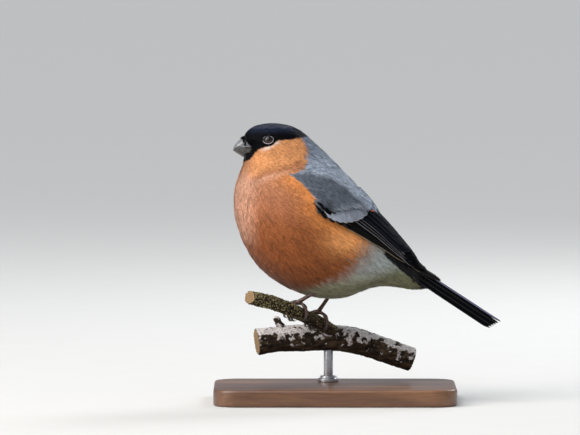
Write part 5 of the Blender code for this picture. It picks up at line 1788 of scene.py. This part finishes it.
deselect()
bpy.ops.mesh.primitive_cube_add(size=1, location=(base_low + base_high) / 2, scale=base_high - base_low)
base = bpy.context.object
bpy.ops.object.transform_apply(location=True, rotation=False, scale=True)
picked(base, "EDGE", lambda edge: len({round(base.data.vertices[i].co.z, 6) for i in edge.vertices}) > 1)
bpy.ops.mesh.bevel(offset=BASE_CORNER * MM, segments=14, affect="EDGES")
bpy.ops.object.mode_set(mode="OBJECT")
softened(base, BASE_EDGE, 4, angle=60)
wood_finish, wood_tree, wood_shader = material("base_walnut", 0.4, Coat_Weight=0.3, Coat_Roughness=0.25)
wood_wander = grain(wood_tree, (9, 90, 90), 4.0, Distortion=0.8)
wood_pores = grain(wood_tree, (90, 1400, 1400), 3.0)
wood_links = {6: ramp(wood_tree, wood_wander, WALNUT), 7: ramp(wood_tree, wood_pores, WOOD_PORES)}
wood_mix = node(wood_tree, "ShaderNodeMix", wood_links, data_type="RGBA", blend_type="MULTIPLY")
wood_mix.inputs[0].default_value = 1
dressed(wood_tree, wood_shader, wood_mix.outputs[2], wood_pores, Strength=0.15, Distance=0.0001)
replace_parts(settled(base, "stand_base_wood", wood_finish), "stand_base")

steel_finish, steel_tree, steel_shader = material("rod_steel", 0.3, Metallic=1.0)
steel_lines = grain(steel_tree, (400, 400, 4000), 3.0)
dressed(steel_tree, steel_shader, ramp(steel_tree, steel_lines, STEEL))
steel_rough = node(steel_tree, "ShaderNodeMapRange", {"Value": steel_lines}, To_Min=0.22, To_Max=0.42)
steel_tree.links.new(steel_rough.outputs["Result"], steel_shader.inputs["Roughness"])
deselect()
rod = cylinder(48, (rod_high.x - rod_low.x) / 2, rod_high.z - rod_low.z + ROD_SEAT * MM, rod_middle)
softened(rod, ROD_EDGE, 3)
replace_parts(settled(rod, "stand_rod_steel", steel_finish), "stand_rod")
collar_middle = (rod_middle.x, rod_middle.y, base_high.z + COLLAR_HEIGHT / 2 * MM)
collar = cylinder(64, COLLAR_RADIUS * MM, COLLAR_HEIGHT * MM, collar_middle)
picked(collar, "FACE", lambda face: face.normal.z > 0.9)
bpy.ops.mesh.inset(thickness=COLLAR_STEP * MM)
bpy.ops.mesh.extrude_region_move(TRANSFORM_OT_translate={"value": (0, 0, COLLAR_STEP * MM)})
bpy.ops.object.mode_set(mode="OBJECT")
softened(collar, COLLAR_EDGE, 4)
settled(collar, "stand_collar", steel_finish)

for helper in ("body_form", "bill_form", "tail_form", "cover_form"):
    bpy.data.objects.remove(bpy.data.objects[helper])
